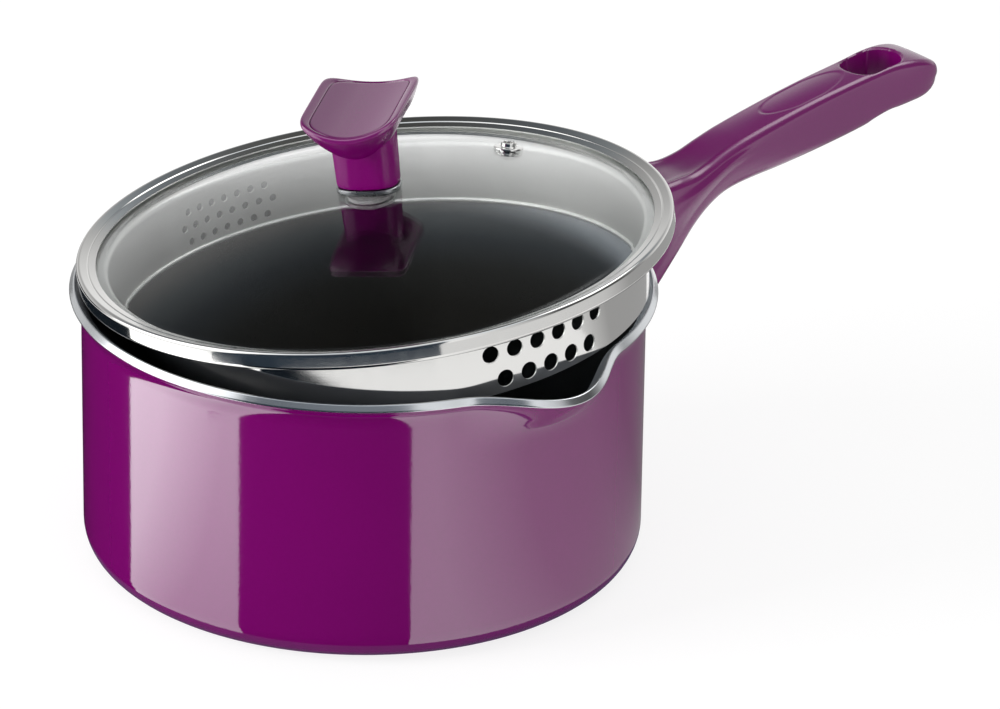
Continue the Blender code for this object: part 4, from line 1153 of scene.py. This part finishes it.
def strainer_tree():
    """Geometry Nodes that cut the rows of holes through the skirt and give each finish its material."""
    sizes = [kind + " " + size for kind in ("Coarse", "Fine") for size in HOLE_SIZES]
    nodes, given, wanted = shape_group("strainer_holes", ["Skirt Radius"] + sizes, RING_FINISHES)
    row_tree = hole_row_tree()
    joined = nodes.add("GeometryNodeJoinGeometry")
    for kind, count, depth in STRAINER_ROWS:
        inputs = {"Count": count, "Depth": depth, "Skirt Radius": given["Skirt Radius"]}
        inputs |= {size: given[kind + " " + size] for size in HOLE_SIZES}
        row = nodes.add("GeometryNodeGroup", inputs, node_tree=row_tree)
        nodes.join(row.outputs[0], joined.inputs[0])
    inputs = {0: given["Geometry"], 1: joined.outputs[0]}
    drilled = nodes.add("GeometryNodeMeshBoolean", inputs, operation="DIFFERENCE", solver="EXACT")
    shape = set_finishes(nodes, nodes.realize(drilled.outputs[0]), given, RING_FINISHES)
    nodes.join(shape, wanted["Geometry"])
    return nodes.tree


def make_lid_ring():
    lid = settings("lid")
    line = split_long(stepped_flange(ring_line()), longest=0.004)
    section = thick_line(line, lid.sheet)
    hem = Vector((lid.skirt_radius - lid.hem_roll, lid.hem_roll - lid.skirt_depth))
    roll_start, roll_turn, steps = math.radians(-40), math.radians(-236), 12
    angles = [roll_start + roll_turn * step / steps for step in range(steps + 1)]
    roll = [hem + polar(angle, lid.hem_roll).xy for angle in angles]
    outside = len(line) - 1
    section = section[:outside] + roll + section[outside + 2:]

    def finish_of(index):
        return int(index <= outside)

    ring = turned_piece("lid_rim_and_skirt", section, BODY_STEPS, finish_of=finish_of)
    shape_by_nodes(ring, strainer_tree(), lid)
    finish_piece(ring, "lid", ["lid_ring"], place=lid_matrix())


def dome():
    """The glass's radius, its dome's foot and the height there, and the dome's own radius and centre."""
    lid = settings("lid")
    top = -lid.flange_drop - lid.sheet - lid.glass_seat
    edge = lid.ring_radius - lid.sheet - lid.glass_play
    foot = edge - lid.glass_flat
    rise = lid.crown - top
    radius = (foot**2 + rise**2) / (2 * rise)
    return edge, foot, top, radius, lid.crown - radius


def dome_height(across, offset=0.0):
    """The height of the dome's upper face, or of a face that much below it, at a distance from its axis."""
    _, _, _, radius, centre = dome()
    return centre + math.sqrt((radius - offset) ** 2 - across**2)


def vent_matrix():
    """The vent's frame on the dome: its origin on the upper face, its Z square to the glass."""
    lid = settings("lid")
    lean = math.asin(lid.vent_from_centre / dome()[3])
    foot = Matrix.Translation((lid.vent_from_centre, 0, dome_height(lid.vent_from_centre)))
    return Matrix.Rotation(lid.vent_direction, 4, "Z") @ foot @ Matrix.Rotation(lean, 4, "Y")


def make_lid_glass():
    lid = settings("lid")
    edge, foot, top, radius, centre = dome()
    under = top - lid.glass
    inner_foot = math.sqrt((radius - lid.glass) ** 2 - (under - centre) ** 2)

    def dome_run(reach, offset):
        """Points on a face of the dome, from the knob's hole outward."""
        run = reach - lid.knob_hole
        places = [lid.knob_hole + run * step / DOME_STEPS for step in range(DOME_STEPS)]
        return [Vector((across, dome_height(across, offset))) for across in places]

    rim = rounded_path([
        (foot, top, 0, 0),
        (edge, top, lid.glass_round, 4),
        (edge, under, lid.glass_round, 4),
        (inner_foot, under, 0, 0),
    ])
    section = dome_run(foot, 0) + rim + dome_run(inner_foot, lid.glass)[::-1]
    pane = turned_piece("lid_pane", section, GLASS_STEPS)
    reach = 2 * lid.glass
    hole = cylinder_piece("vent_hole", lid.vent_tube + settings("knob").gap, (0, 0, -reach), (0, 0, reach))
    hole.data.transform(vent_matrix())
    cut(pane, hole)
    finish_piece(pane, "lid", ["lid_glass"], material_named("glass"), place=lid_matrix())


def make_vent():
    lid, knob = settings("lid"), settings("knob")
    flange_top = knob.gap + lid.vent_sheet
    below = -lid.glass - knob.gap
    wall = lid.vent_bore + lid.vent_collar_wall
    brim_round, foot_round = lid.vent_collar_wall / 2.2, 0.0004
    corners = [
        (lid.vent_bore, below - lid.vent_sheet, 0, 0),
        (lid.vent_bore, flange_top + lid.vent_collar, brim_round, 5),
        (wall, flange_top + lid.vent_collar, brim_round, 5),
        (wall, flange_top, foot_round, 4),
        (lid.vent_flange, flange_top, lid.vent_sheet / 2, 4),
        (lid.vent_flange, knob.gap, 0, 0),
        (lid.vent_tube, knob.gap, 0, 0),
        (lid.vent_tube, below, 0, 0),
        (lid.vent_lower, below, lid.vent_sheet / 3, 3),
        (lid.vent_lower, below - lid.vent_sheet, lid.vent_sheet / 3, 3),
    ]
    vent = turned_piece("vent_grommet", rounded_path(corners, closed=True))
    place = lid_matrix() @ vent_matrix()
    finish_piece(vent, "lid", ["vent_eyelet"], material_named("ring_steel"), place=place)


# Knob


def oval(across, along, bulge, squareness, points):
    """An outline between an oval and a rectangle, whose two ends bulge along the second axis."""
    outline = []
    for index in range(points):
        turn_by = math.tau * index / points
        heading = math.atan2((along + bulge) * math.sin(turn_by), across * math.cos(turn_by))
        near, far = 0.0, 2 * (across + along + bulge)
        for _ in range(40):
            middle = (near + far) / 2
            u = abs(middle * math.cos(heading))
            v = abs(middle * math.sin(heading))
            end = along + bulge * max(1 - (u / across) ** 2, 0)
            inside = (u / across) ** squareness + (v / end) ** squareness < 1
            near, far = (middle, far) if inside else (near, middle)
        outline.append((near * math.cos(heading), near * math.sin(heading)))
    return outline


# The knob's rounded foot: share of the neck's height, and how much wider than the neck
NECK_FOOT = ((0, -0.0006), (0.015, -0.0002), (0.04, 0))
# The groove round the knob's panel, from outside in: place over its half-width, and share of its depth
GROOVE = ((-1, 0), (-0.625, 0.12), (-0.3, 0.8), (0, 1), (0.3, 0.8), (0.625, 0.3))
# The collar's rounded edge: how much it shrinks, and at what share of its height
COLLAR_EDGE = ((0.03, 0), (0.008, 0.1), (0, 0.25), (0, 0.75), (0.008, 0.9), (0.03, 1))


def knob_rings(knob, foot):
    """The knob's rings from its foot to the middle of its dished top."""
    neck = oval(knob.neck_across, knob.neck_along, 0, knob.neck_power, KNOB_STEPS)
    plate = oval(knob.plate_across, knob.plate_along, knob.plate_bulge, knob.plate_power, KNOB_STEPS)
    middle = foot + knob.height - knob.saddle
    rings = []

    def saddle(across):
        return knob.saddle * (across / knob.plate_across) ** 2

    def neck_top(u):
        return knob.neck_height + knob.neck_saddle * (u / knob.neck_across) ** 2

    def add_neck(share, grow):
        wide, deep = 1 + grow / knob.neck_across, 1 + grow / knob.neck_along
        rings.append([(u * wide, v * deep, foot + neck_top(u) * share) for u, v in neck])

    def add_hull(share):
        ring = []
        wide, deep = 1 + knob.neck_flare / knob.neck_across, 1 + knob.neck_flare / knob.neck_along
        for (u, v), (wide_u, wide_v) in zip(neck, plate):
            x = u * wide + (wide_u - u * wide) * share
            y = v * deep + (wide_v - v * deep) * share
            low = foot + neck_top(u)
            high = middle + saddle(x) - knob.plate_edge
            ring.append((x, y, low + (high - low) * share**2.2))
        rings.append(ring)

    def add_top(inset, end_inset, drop):
        wide, deep = 1 - inset / knob.plate_across, 1 - end_inset / knob.plate_along
        rings.append([(u * wide, v * deep, middle + saddle(u * wide) - drop) for u, v in plate])

    # The neck, from its rounded foot
    for share, grow in NECK_FOOT:
        add_neck(share, grow)
    start = NECK_FOOT[-1][0]
    for step in range(1, NECK_STEPS):
        add_neck(start + (1 - start) * step / NECK_STEPS, knob.neck_flare * step / NECK_STEPS)

    # The hull, the plate's edge and its rounding
    for step in range(HULL_STEPS + 1):
        add_hull(step / HULL_STEPS)
    for step in range(1, EDGE_STEPS + 1):
        add_top(0, 0, knob.plate_edge + (knob.plate_round - knob.plate_edge) * step / EDGE_STEPS)
    for step in range(1, PLATE_ROUND_STEPS + 1):
        angle = math.pi / 2 * step / PLATE_ROUND_STEPS
        inset = knob.plate_round * (1 - math.cos(angle))
        add_top(inset, inset, knob.plate_round * (1 - math.sin(angle)))

    # The groove and the bare panel inside it
    half = knob.groove_half
    inset, end_inset = knob.panel_inset, knob.panel_end_inset
    for aside, share in GROOVE:
        add_top(inset + aside * half, end_inset + aside * half, knob.groove * share)
    inset, end_inset = inset + half, end_inset + half
    for step in range(PANEL_STEPS + 1):
        share = step / PANEL_STEPS
        across = inset + (knob.plate_across - inset) * share
        along = end_inset + (knob.plate_along - end_inset) * share
        add_top(across, along, knob.panel_depth)
    return rings


def make_knob():
    knob, lid = settings("knob"), settings("lid")
    foot = lid.crown + 2 * knob.gap + knob.collar
    grip = lofted_piece("knob_grip", knob_rings(knob, foot))
    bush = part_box("knob_insert")
    reach = (bush[1] - bush[0]).z
    place = lid_matrix() @ Matrix.Rotation(knob.direction, 4, "Z")
    cut(grip, cylinder_piece("bush_socket", knob.bush_hole, (0, 0, foot - OVERCUT), (0, 0, foot + reach)))
    look = material_named("knob")
    finish_piece(grip, "lid", ["knob"], look, place=place, sharp=math.radians(40))

    across, along = knob.neck_across + knob.collar_proud, knob.neck_along + knob.collar_proud
    outline = oval(across, along, 0, knob.neck_power, COLLAR_STEPS)
    low = lid.crown + knob.gap
    rings = []
    for shrink, up in COLLAR_EDGE:
        rings.append([(u * (1 - shrink), v * (1 - shrink), low + knob.collar * up) for u, v in outline])
    collar = lofted_piece("knob_collar_band", rings)
    high = low + knob.collar
    cut(collar, cylinder_piece("collar_bore", knob.screw_hole, (0, 0, low - OVERCUT), (0, 0, high + OVERCUT)))
    finish_piece(collar, "lid", ["knob_collar"], material_named("aluminium"), place=place)


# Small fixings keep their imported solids


def finish_fixings():
    finishes = {
        "handle_stud": "aluminium",
        "handle_screw": "steel",
        "handle_lock_washer": "steel",
        "knob_insert": "brass",
        "knob_seal_washer": "silicone",
        "knob_washer": "steel",
        "knob_screw": "steel",
    }
    for node, finish in finishes.items():
        paint(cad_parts[node], material_named(finish))


# Stage


# Ramps round the view: each stop is an angle from it, to the right positive, and a level or a colour
RIGHT_FADE = ((0.0, 1.0), (24.0, 1.0), (56.0, 0.54), (85.0, 0.42), (109.0, 0.22), (180.0, 0.18))
LEFT_FADE = ((-180.0, 1.0), (-172.0, 1.0), (-140.0, 0.02), (-118.0, 0.02), (-108.0, 1.0), (0.0, 1.0))
SIDE_FADE = ((0.0, 0.85), (60.0, 0.80), (86.0, 0.68), (100.0, 0.40), (150.0, 0.38), (180.0, 0.38))
TENT_FLAG = (0.010, 0.014, 0.020)
TENT_ROUND = (
    (-180.0, 0.30),
    (-114.0, 0.30),
    (-112.0, 0.75),
    (-55.0, 0.50),
    (-53.0, TENT_FLAG),
    (21.0, TENT_FLAG),
    (23.0, 0.36),
    (55.0, 0.20),
    (68.0, 0.03),
    (100.0, 0.03),
    (120.0, 0.15),
    (180.0, 0.30),
)
TENT_BACK_ROUND = (
    (-180.0, 0.95),
    (-168.0, 0.60),
    (-152.0, 0.75),
    (-130.0, 0.65),
    (-112.0, 0.3),
    (0.0, 0.45),
    (130.0, 0.9),
    (180.0, 1.0),
)
WINDOW_ROUND = ((0.0, 0.0), (88.0, 0.0), (98.0, 1.0), (146.0, 1.0), (158.0, 0.0), (180.0, 0.0))
# Ramps up the tent: each stop is an angle over the floor, and a level or a colour
TENT_TOP = ((0.0, 0.0), (34.0, 0.0), (50.0, 0.20), (68.0, 1.0), (90.0, 1.0))
TENT_BACK_UP = (
    (0.0, 1.0),
    (11.0, 1.0),
    (18.0, 0.88),
    (25.0, 0.72),
    (30.0, 0.55),
    (35.0, (0.35, 0.38, 0.40)),
    (42.0, (0.18, 0.20, 0.22)),
    (50.0, (0.115, 0.118, 0.115)),
    (60.0, (0.085, 0.082, 0.075)),
    (74.0, (0.08, 0.078, 0.07)),
    (80.0, 0.6),
    (90.0, 0.6),
)
WINDOW_UP = ((0.0, 0.0), (40.0, 0.0), (46.0, 1.0), (62.0, 1.0), (70.0, 0.0), (90.0, 0.0))
# The near edge of the card beside the pan: angle from the view, distance
SIDE_CARD_EDGE = (
    (22.0, 0.43),
    (43.0, 0.475),
    (65.0, 0.49),
    (80.0, 0.485),
    (90.0, 0.40),
    (100.0, 0.34),
    (150.0, 0.32),
)


def bare_material(name):
    """A node material without a shader, and the socket that its surface goes to."""
    material = bpy.data.materials.new(name)
    material.use_nodes = True
    nodes = Nodes(material.node_tree)
    nodes.tree.nodes.remove(nodes.tree.nodes["Principled BSDF"])
    return material, nodes, nodes.tree.nodes["Material Output"].inputs["Surface"]


def glow_material(name, glow, strength=1.0, clear_to_look=False):
    """An emitter with a dark, bluish level, or with a function of its Object coordinates as its colour.
    It may be clear to rays that only went straight through glass."""
    material, nodes, surface = bare_material(name)
    if callable(glow):
        colour_of = glow(nodes, nodes.add("ShaderNodeTexCoord").outputs["Object"])
    else:
        colour_of = (glow * 0.7, glow, glow * 1.4, 1.0)
    shown = nodes.add("ShaderNodeEmission", {"Color": colour_of, "Strength": strength}).outputs[0]
    if clear_to_look:
        path = nodes.add("ShaderNodeLightPath").outputs
        straight = nodes.math("LESS_THAN", path["Glossy Depth"], 0.5)
        straight = nodes.math("MULTIPLY", path["Is Transmission Ray"], straight)
        clear = nodes.add("ShaderNodeBsdfTransparent").outputs[0]
        shown = nodes.mix_shader(straight, shown, clear)
    nodes.join(shown, surface)
    return material


def reflected_only(piece, material):
    """Let only polished and glossy surfaces see a piece of the stage."""
    piece.data.materials.append(material)
    piece.visible_camera = False
    piece.visible_diffuse = False
    piece.visible_shadow = False
    piece.visible_transmission = False


def round_view(nodes, place):
    """The angle round the pan from the view, to the right positive, and the distance and height."""
    parts = nodes.split(place)
    angle = nodes.math("SUBTRACT", nodes.math("ARCTAN2", parts["Y"], parts["X"]), VIEW_AZIMUTH)
    turned = nodes.math("DEGREES", nodes.math("WRAP", angle, math.pi, -math.pi))
    away = nodes.vector_math("LENGTH", {0: nodes.combine(parts["X"], parts["Y"])}, "Value")
    return turned, away, parts["Z"]


def level_ramp(nodes, value, stops):
    """A colour ramp over the range of its stops: (value, grey level or colour)."""
    low, high = stops[0][0], stops[-1][0]
    node = nodes.add("ShaderNodeValToRGB", {"Fac": nodes.remap(value, low, high)})
    elements = node.color_ramp.elements
    while len(elements) < len(stops):
        elements.new(0.5)
    for element, (at, level) in zip(elements, stops):
        element.position = (at - low) / (high - low)
        element.color = (*level, 1.0) if isinstance(level, tuple) else (level, level, level, 1.0)
    return node.outputs["Color"]


def fading_round(stops):
    """A glow that changes with the angle from the view."""
    return lambda nodes, place: level_ramp(nodes, round_view(nodes, place)[0], stops)


def left_glow(nodes, place):
    """A glow that grows with the angle to the left and with the distance."""
    angle, away, _ = round_view(nodes, place)
    by_angle = nodes.remap(angle, -48.0, -73.5, 0.66, 1.05)
    return nodes.math("MULTIPLY", by_angle, nodes.remap(away, 0.12, 0.28, 1.00, 1.43))


def mirror_card(name, first, last, run, material, steps=16):
    """A card on the floor that the wall mirrors to the camera between two angles from the view."""
    radius = settings("pan").body_radius
    inner, outer = [], []
    for step in range(steps + 1):
        side = math.radians(first + (last - first) * step / steps)
        inner.append(polar(VIEW_AZIMUTH + side, radius))
        outer.append(inner[-1] + polar(VIEW_AZIMUTH + 2 * side, run))
    reflected_only(flat_piece(name, inner + outer[::-1]), material)


def far_card(name, edge, material):
    """A card on the floor from a near edge of (angle from the view, distance) points to the horizon."""
    near = [polar(VIEW_AZIMUTH + math.radians(side), reach) for side, reach in edge]
    far = [polar(VIEW_AZIMUTH + math.radians(side), HORIZON) for side, _ in edge]
    reflected_only(flat_piece(name, near + far[::-1]), material)


def contact_shade_ring():
    """A thin dark ring on the floor that the rounded foot of the wall mirrors: painted shade in place of the
    pan's contact shadow.
    """
    inside, outside, height = 0.0925, 0.1035, 0.0003
    turns = [math.radians(5 * step) for step in range(73)]
    inner, outer = [[polar(turn, reach, height) for turn in turns] for reach in (inside, outside)]
    reflected_only(flat_piece("foot_flag", inner + outer[::-1]), glow_material("foot_flag_glow", 0.10))


def make_floor_cards():
    """Light and dark cards on the floor round the pan, laid where its walls mirror them to the camera."""
    stage = settings("stage")
    flag = glow_material("black_flag", stage.flag)
    left = glow_material("left_card_glow", left_glow, stage.left_card)
    right = glow_material("right_card_glow", fading_round(RIGHT_FADE), stage.right_card)
    run, left_run = 0.222, 0.208
    far_left, near_left, near_right, far_right = -54.8, -25.6, 9.8, 88.0
    mirror_card("left_light_card", far_left, near_left, left_run, left)
    mirror_card("right_light_card", near_right, far_right, run, right)
    mirror_card("front_flag", near_left, near_right, run, flag)
    mirror_card("side_flag", -far_right, far_left, run, flag)
    # A ring of painted shade under the pan's foot, in place of its contact shadow
    contact_shade_ring()

    front_sides = [-54 + 4.75 * step for step in range(17)]
    front_edge = [(side, 0.384 + 0.00205 * side) for side in front_sides]
    left_edge = [(side, 0.33) for side in range(-172, -107, 8)]
    far_card("far_front_flag", front_edge, glow_material("grey_flag", 0.045))
    far_card("far_left_flag", left_edge, glow_material("left_flag_fade", fading_round(LEFT_FADE)))
    far_card("far_side_card", SIDE_CARD_EDGE, glow_material("side_card_glow", fading_round(SIDE_FADE)))


def tent_glow(nodes, place):
    """Light cards to both sides of a dark front, a bright top, a pale back that darkens with height, which
    keeps the lid's glass clear, and a high window beside the handle."""
    angle, away, height = round_view(nodes, place)
    rise = nodes.math("DEGREES", nodes.math("ARCTAN2", height, away))
    front = nodes.vector_math("SCALE", {0: level_ramp(nodes, angle, TENT_ROUND), "Scale": 3.0})
    front = nodes.mix_colour(level_ramp(nodes, rise, TENT_TOP), front, (0.9, 0.95, 1.0, 1.0))
    ramps = {0: level_ramp(nodes, rise, TENT_BACK_UP), 1: level_ramp(nodes, angle, TENT_BACK_ROUND)}
    back = nodes.vector_math("MULTIPLY", ramps)
    behind = nodes.remap(nodes.math("ABSOLUTE", angle), 112.0, 128.0, kind="SMOOTHSTEP")
    ramps = {0: level_ramp(nodes, angle, WINDOW_ROUND), 1: level_ramp(nodes, rise, WINDOW_UP)}
    window = nodes.vector_math("MULTIPLY", ramps)
    light = settings("stage").side_window
    return nodes.mix_colour(window, nodes.mix_colour(behind, front, back), (light, light, light, 1.0))


def make_tent():
    """A round tent that glossy pieces mirror."""
    radius, rows, top = 2.0, 18, math.radians(80)
    rises = [top * (1 - row / rows) for row in range(rows + 1)]
    bm = bmesh.new()
    section = [(radius * math.cos(rise), radius * math.sin(rise)) for rise in rises]
    revolve(bm, section, steps=72, closed=False)
    tent = linked_object("light_tent", bm)
    reflected_only(tent, glow_material("tent_glow", tent_glow, clear_to_look=True))
    tent.visible_transmission = True


def make_floor():
    """A white floor that polished pieces and the glass show too, and that keeps the pan's soft shadow."""
    half, under = 6.0, -0.0004
    corners = ((-half, -half), (half, -half), (half, half), (-half, half))
    floor = flat_piece("studio_floor", [(x, y, under) for x, y in corners])

    white = settings("finish").stage_white
    shaded_share, glow_level = 0.30, 0.81
    material, nodes, surface = bare_material("white_floor")
    matt = nodes.add("ShaderNodeBsdfDiffuse", {"Color": (*white, 1.0)}).outputs[0]
    shaded = nodes.add("ShaderNodeBsdfDiffuse", {"Color": (*[part * shaded_share for part in white], 1.0)})
    glow = nodes.add("ShaderNodeEmission", {"Color": (1.0, 1.0, 1.0, 1.0), "Strength": glow_level})
    both = nodes.add("ShaderNodeAddShader", {0: shaded.outputs[0], 1: glow.outputs[0]}).outputs[0]
    nodes.join(nodes.mix_shader(seen_ray(nodes), matt, both), surface)
    floor.data.materials.append(material)


def seen_ray(nodes):
    """1 for rays that show the white background: the camera's, mirrored ones and those through glass."""
    path = nodes.add("ShaderNodeLightPath").outputs
    direct = nodes.math("MAXIMUM", path["Is Camera Ray"], path["Is Transmission Ray"])
    return nodes.math("MAXIMUM", direct, path["Is Glossy Ray"])


def make_sky():
    """A white room to look at, and its softer light on the object."""
    sky = settings("stage").sky
    world = bpy.data.worlds.new("white_room")
    bpy.context.scene.world = world
    world.use_nodes = True
    nodes = Nodes(world.node_tree)
    background = nodes.tree.nodes["Background"]
    background.inputs["Color"].default_value = (1.0, 1.0, 1.0, 1.0)
    nodes.join(nodes.math("MULTIPLY_ADD", seen_ray(nodes), 1.0 - sky, sky), background.inputs["Strength"])


def softbox(name, place, size, watts):
    """A lamp turned to the pan, which neither the camera nor a mirror shows."""
    middle = Vector((0.03, 0.0, 0.08))
    lamp = bpy.data.lights.new(name, "AREA")
    lamp.shape = "RECTANGLE"
    lamp.size, lamp.size_y = size
    lamp.energy = watts
    piece = bpy.data.objects.new(name, lamp)
    bpy.context.scene.collection.objects.link(piece)
    piece.location = place
    piece.rotation_euler = (middle - Vector(place)).to_track_quat("-Z", "Y").to_euler()
    piece.visible_glossy = False
    piece.visible_camera = False


def make_lamps():
    stage = settings("stage")
    softbox("key_softbox", place=(-1.75, 0.75, 0.75), size=(1.0, 1.0), watts=stage.key_power)
    softbox("fill_softbox", place=(-0.5, -1.9, 0.45), size=(1.2, 0.8), watts=stage.fill_power)


def make_camera():
    stage = settings("stage")
    lens = bpy.data.cameras.new("photo_camera")
    lens.sensor_width = 36
    lens.lens = stage.lens
    lens.clip_start, lens.clip_end = 0.1, 50
    camera = bpy.data.objects.new("photo_camera", lens)
    bpy.context.scene.collection.objects.link(camera)
    place, aim = Vector(stage.camera_place), Vector(stage.camera_aim)
    turn = (aim - place).to_track_quat("-Z", "Y").to_matrix() @ Matrix.Rotation(stage.roll, 3, "Z")
    camera.location = place
    camera.rotation_euler = turn.to_euler()
    bpy.context.scene.camera = camera


# Operators


class SAUCEPAN_OT_pan(Operator):
    """Make the enamelled shell with its lip and spout"""

    bl_idname = "saucepan.pan"
    bl_label = "Pan shell"

    def execute(self, context):
        make_pan_shell()
        return {"FINISHED"}


class SAUCEPAN_OT_handle(Operator):
    """Make the moulded handle with its hanging hole and bare oval"""

    bl_idname = "saucepan.handle"
    bl_label = "Handle"

    def execute(self, context):
        make_handle()
        return {"FINISHED"}


class SAUCEPAN_OT_lid(Operator):
    """Make the steel ring with its straining skirt, the glass and the vent"""

    bl_idname = "saucepan.lid"
    bl_label = "Lid"

    def execute(self, context):
        make_lid_ring()
        make_lid_glass()
        make_vent()
        return {"FINISHED"}


class SAUCEPAN_OT_knob(Operator):
    """Make the knob and its collar"""

    bl_idname = "saucepan.knob"
    bl_label = "Knob"

    def execute(self, context):
        make_knob()
        return {"FINISHED"}


class SAUCEPAN_OT_fixings(Operator):
    """Give the screws, washers, bush and boss their finishes"""

    bl_idname = "saucepan.fixings"
    bl_label = "Fixings"

    def execute(self, context):
        finish_fixings()
        return {"FINISHED"}


class SAUCEPAN_OT_stage(Operator):
    """Make the floor, the mirror cards, the room, the lamps and the camera"""

    bl_idname = "saucepan.stage"
    bl_label = "Studio"

    def execute(self, context):
        context.scene.view_settings.view_transform = "Standard"
        make_floor()
        make_floor_cards()
        make_tent()
        make_sky()
        make_lamps()
        make_camera()
        return {"FINISHED"}


OPERATORS = (
    SAUCEPAN_OT_pan,
    SAUCEPAN_OT_handle,
    SAUCEPAN_OT_lid,
    SAUCEPAN_OT_knob,
    SAUCEPAN_OT_fixings,
    SAUCEPAN_OT_stage,
)


class SAUCEPAN_PT_pieces(Panel):
    """Lists the pieces and their sizes and finishes"""

    bl_idname = "SAUCEPAN_PT_pieces"
    bl_label = "Saucepan"
    bl_space_type = "VIEW_3D"
    bl_region_type = "UI"
    bl_category = "Saucepan"

    def draw(self, context):
        for operator in OPERATORS:
            self.layout.operator(operator.bl_idname)
        for name, group in SETTINGS.items():
            box = self.layout.box()
            box.label(text=group.__name__)
            for prop in group.__annotations__:
                box.prop(getattr(context.scene, name), prop)


def register():
    for group in SETTINGS.values():
        bpy.utils.register_class(group)
    for name, group in SETTINGS.items():
        setattr(bpy.types.Scene, name, PointerProperty(type=group))
    for operator in OPERATORS:
        bpy.utils.register_class(operator)
    bpy.utils.register_class(SAUCEPAN_PT_pieces)


def unregister():
    bpy.utils.unregister_class(SAUCEPAN_PT_pieces)
    for operator in reversed(OPERATORS):
        bpy.utils.unregister_class(operator)
    for name, group in SETTINGS.items():
        delattr(bpy.types.Scene, name)
        bpy.utils.unregister_class(group)


def main():
    """Make every piece and the stage."""
    register()
    bpy.ops.saucepan.pan()
    bpy.ops.saucepan.handle()
    bpy.ops.saucepan.lid()
    bpy.ops.saucepan.knob()
    bpy.ops.saucepan.fixings()
    bpy.ops.saucepan.stage()


if __name__ == "__main__":
    main()
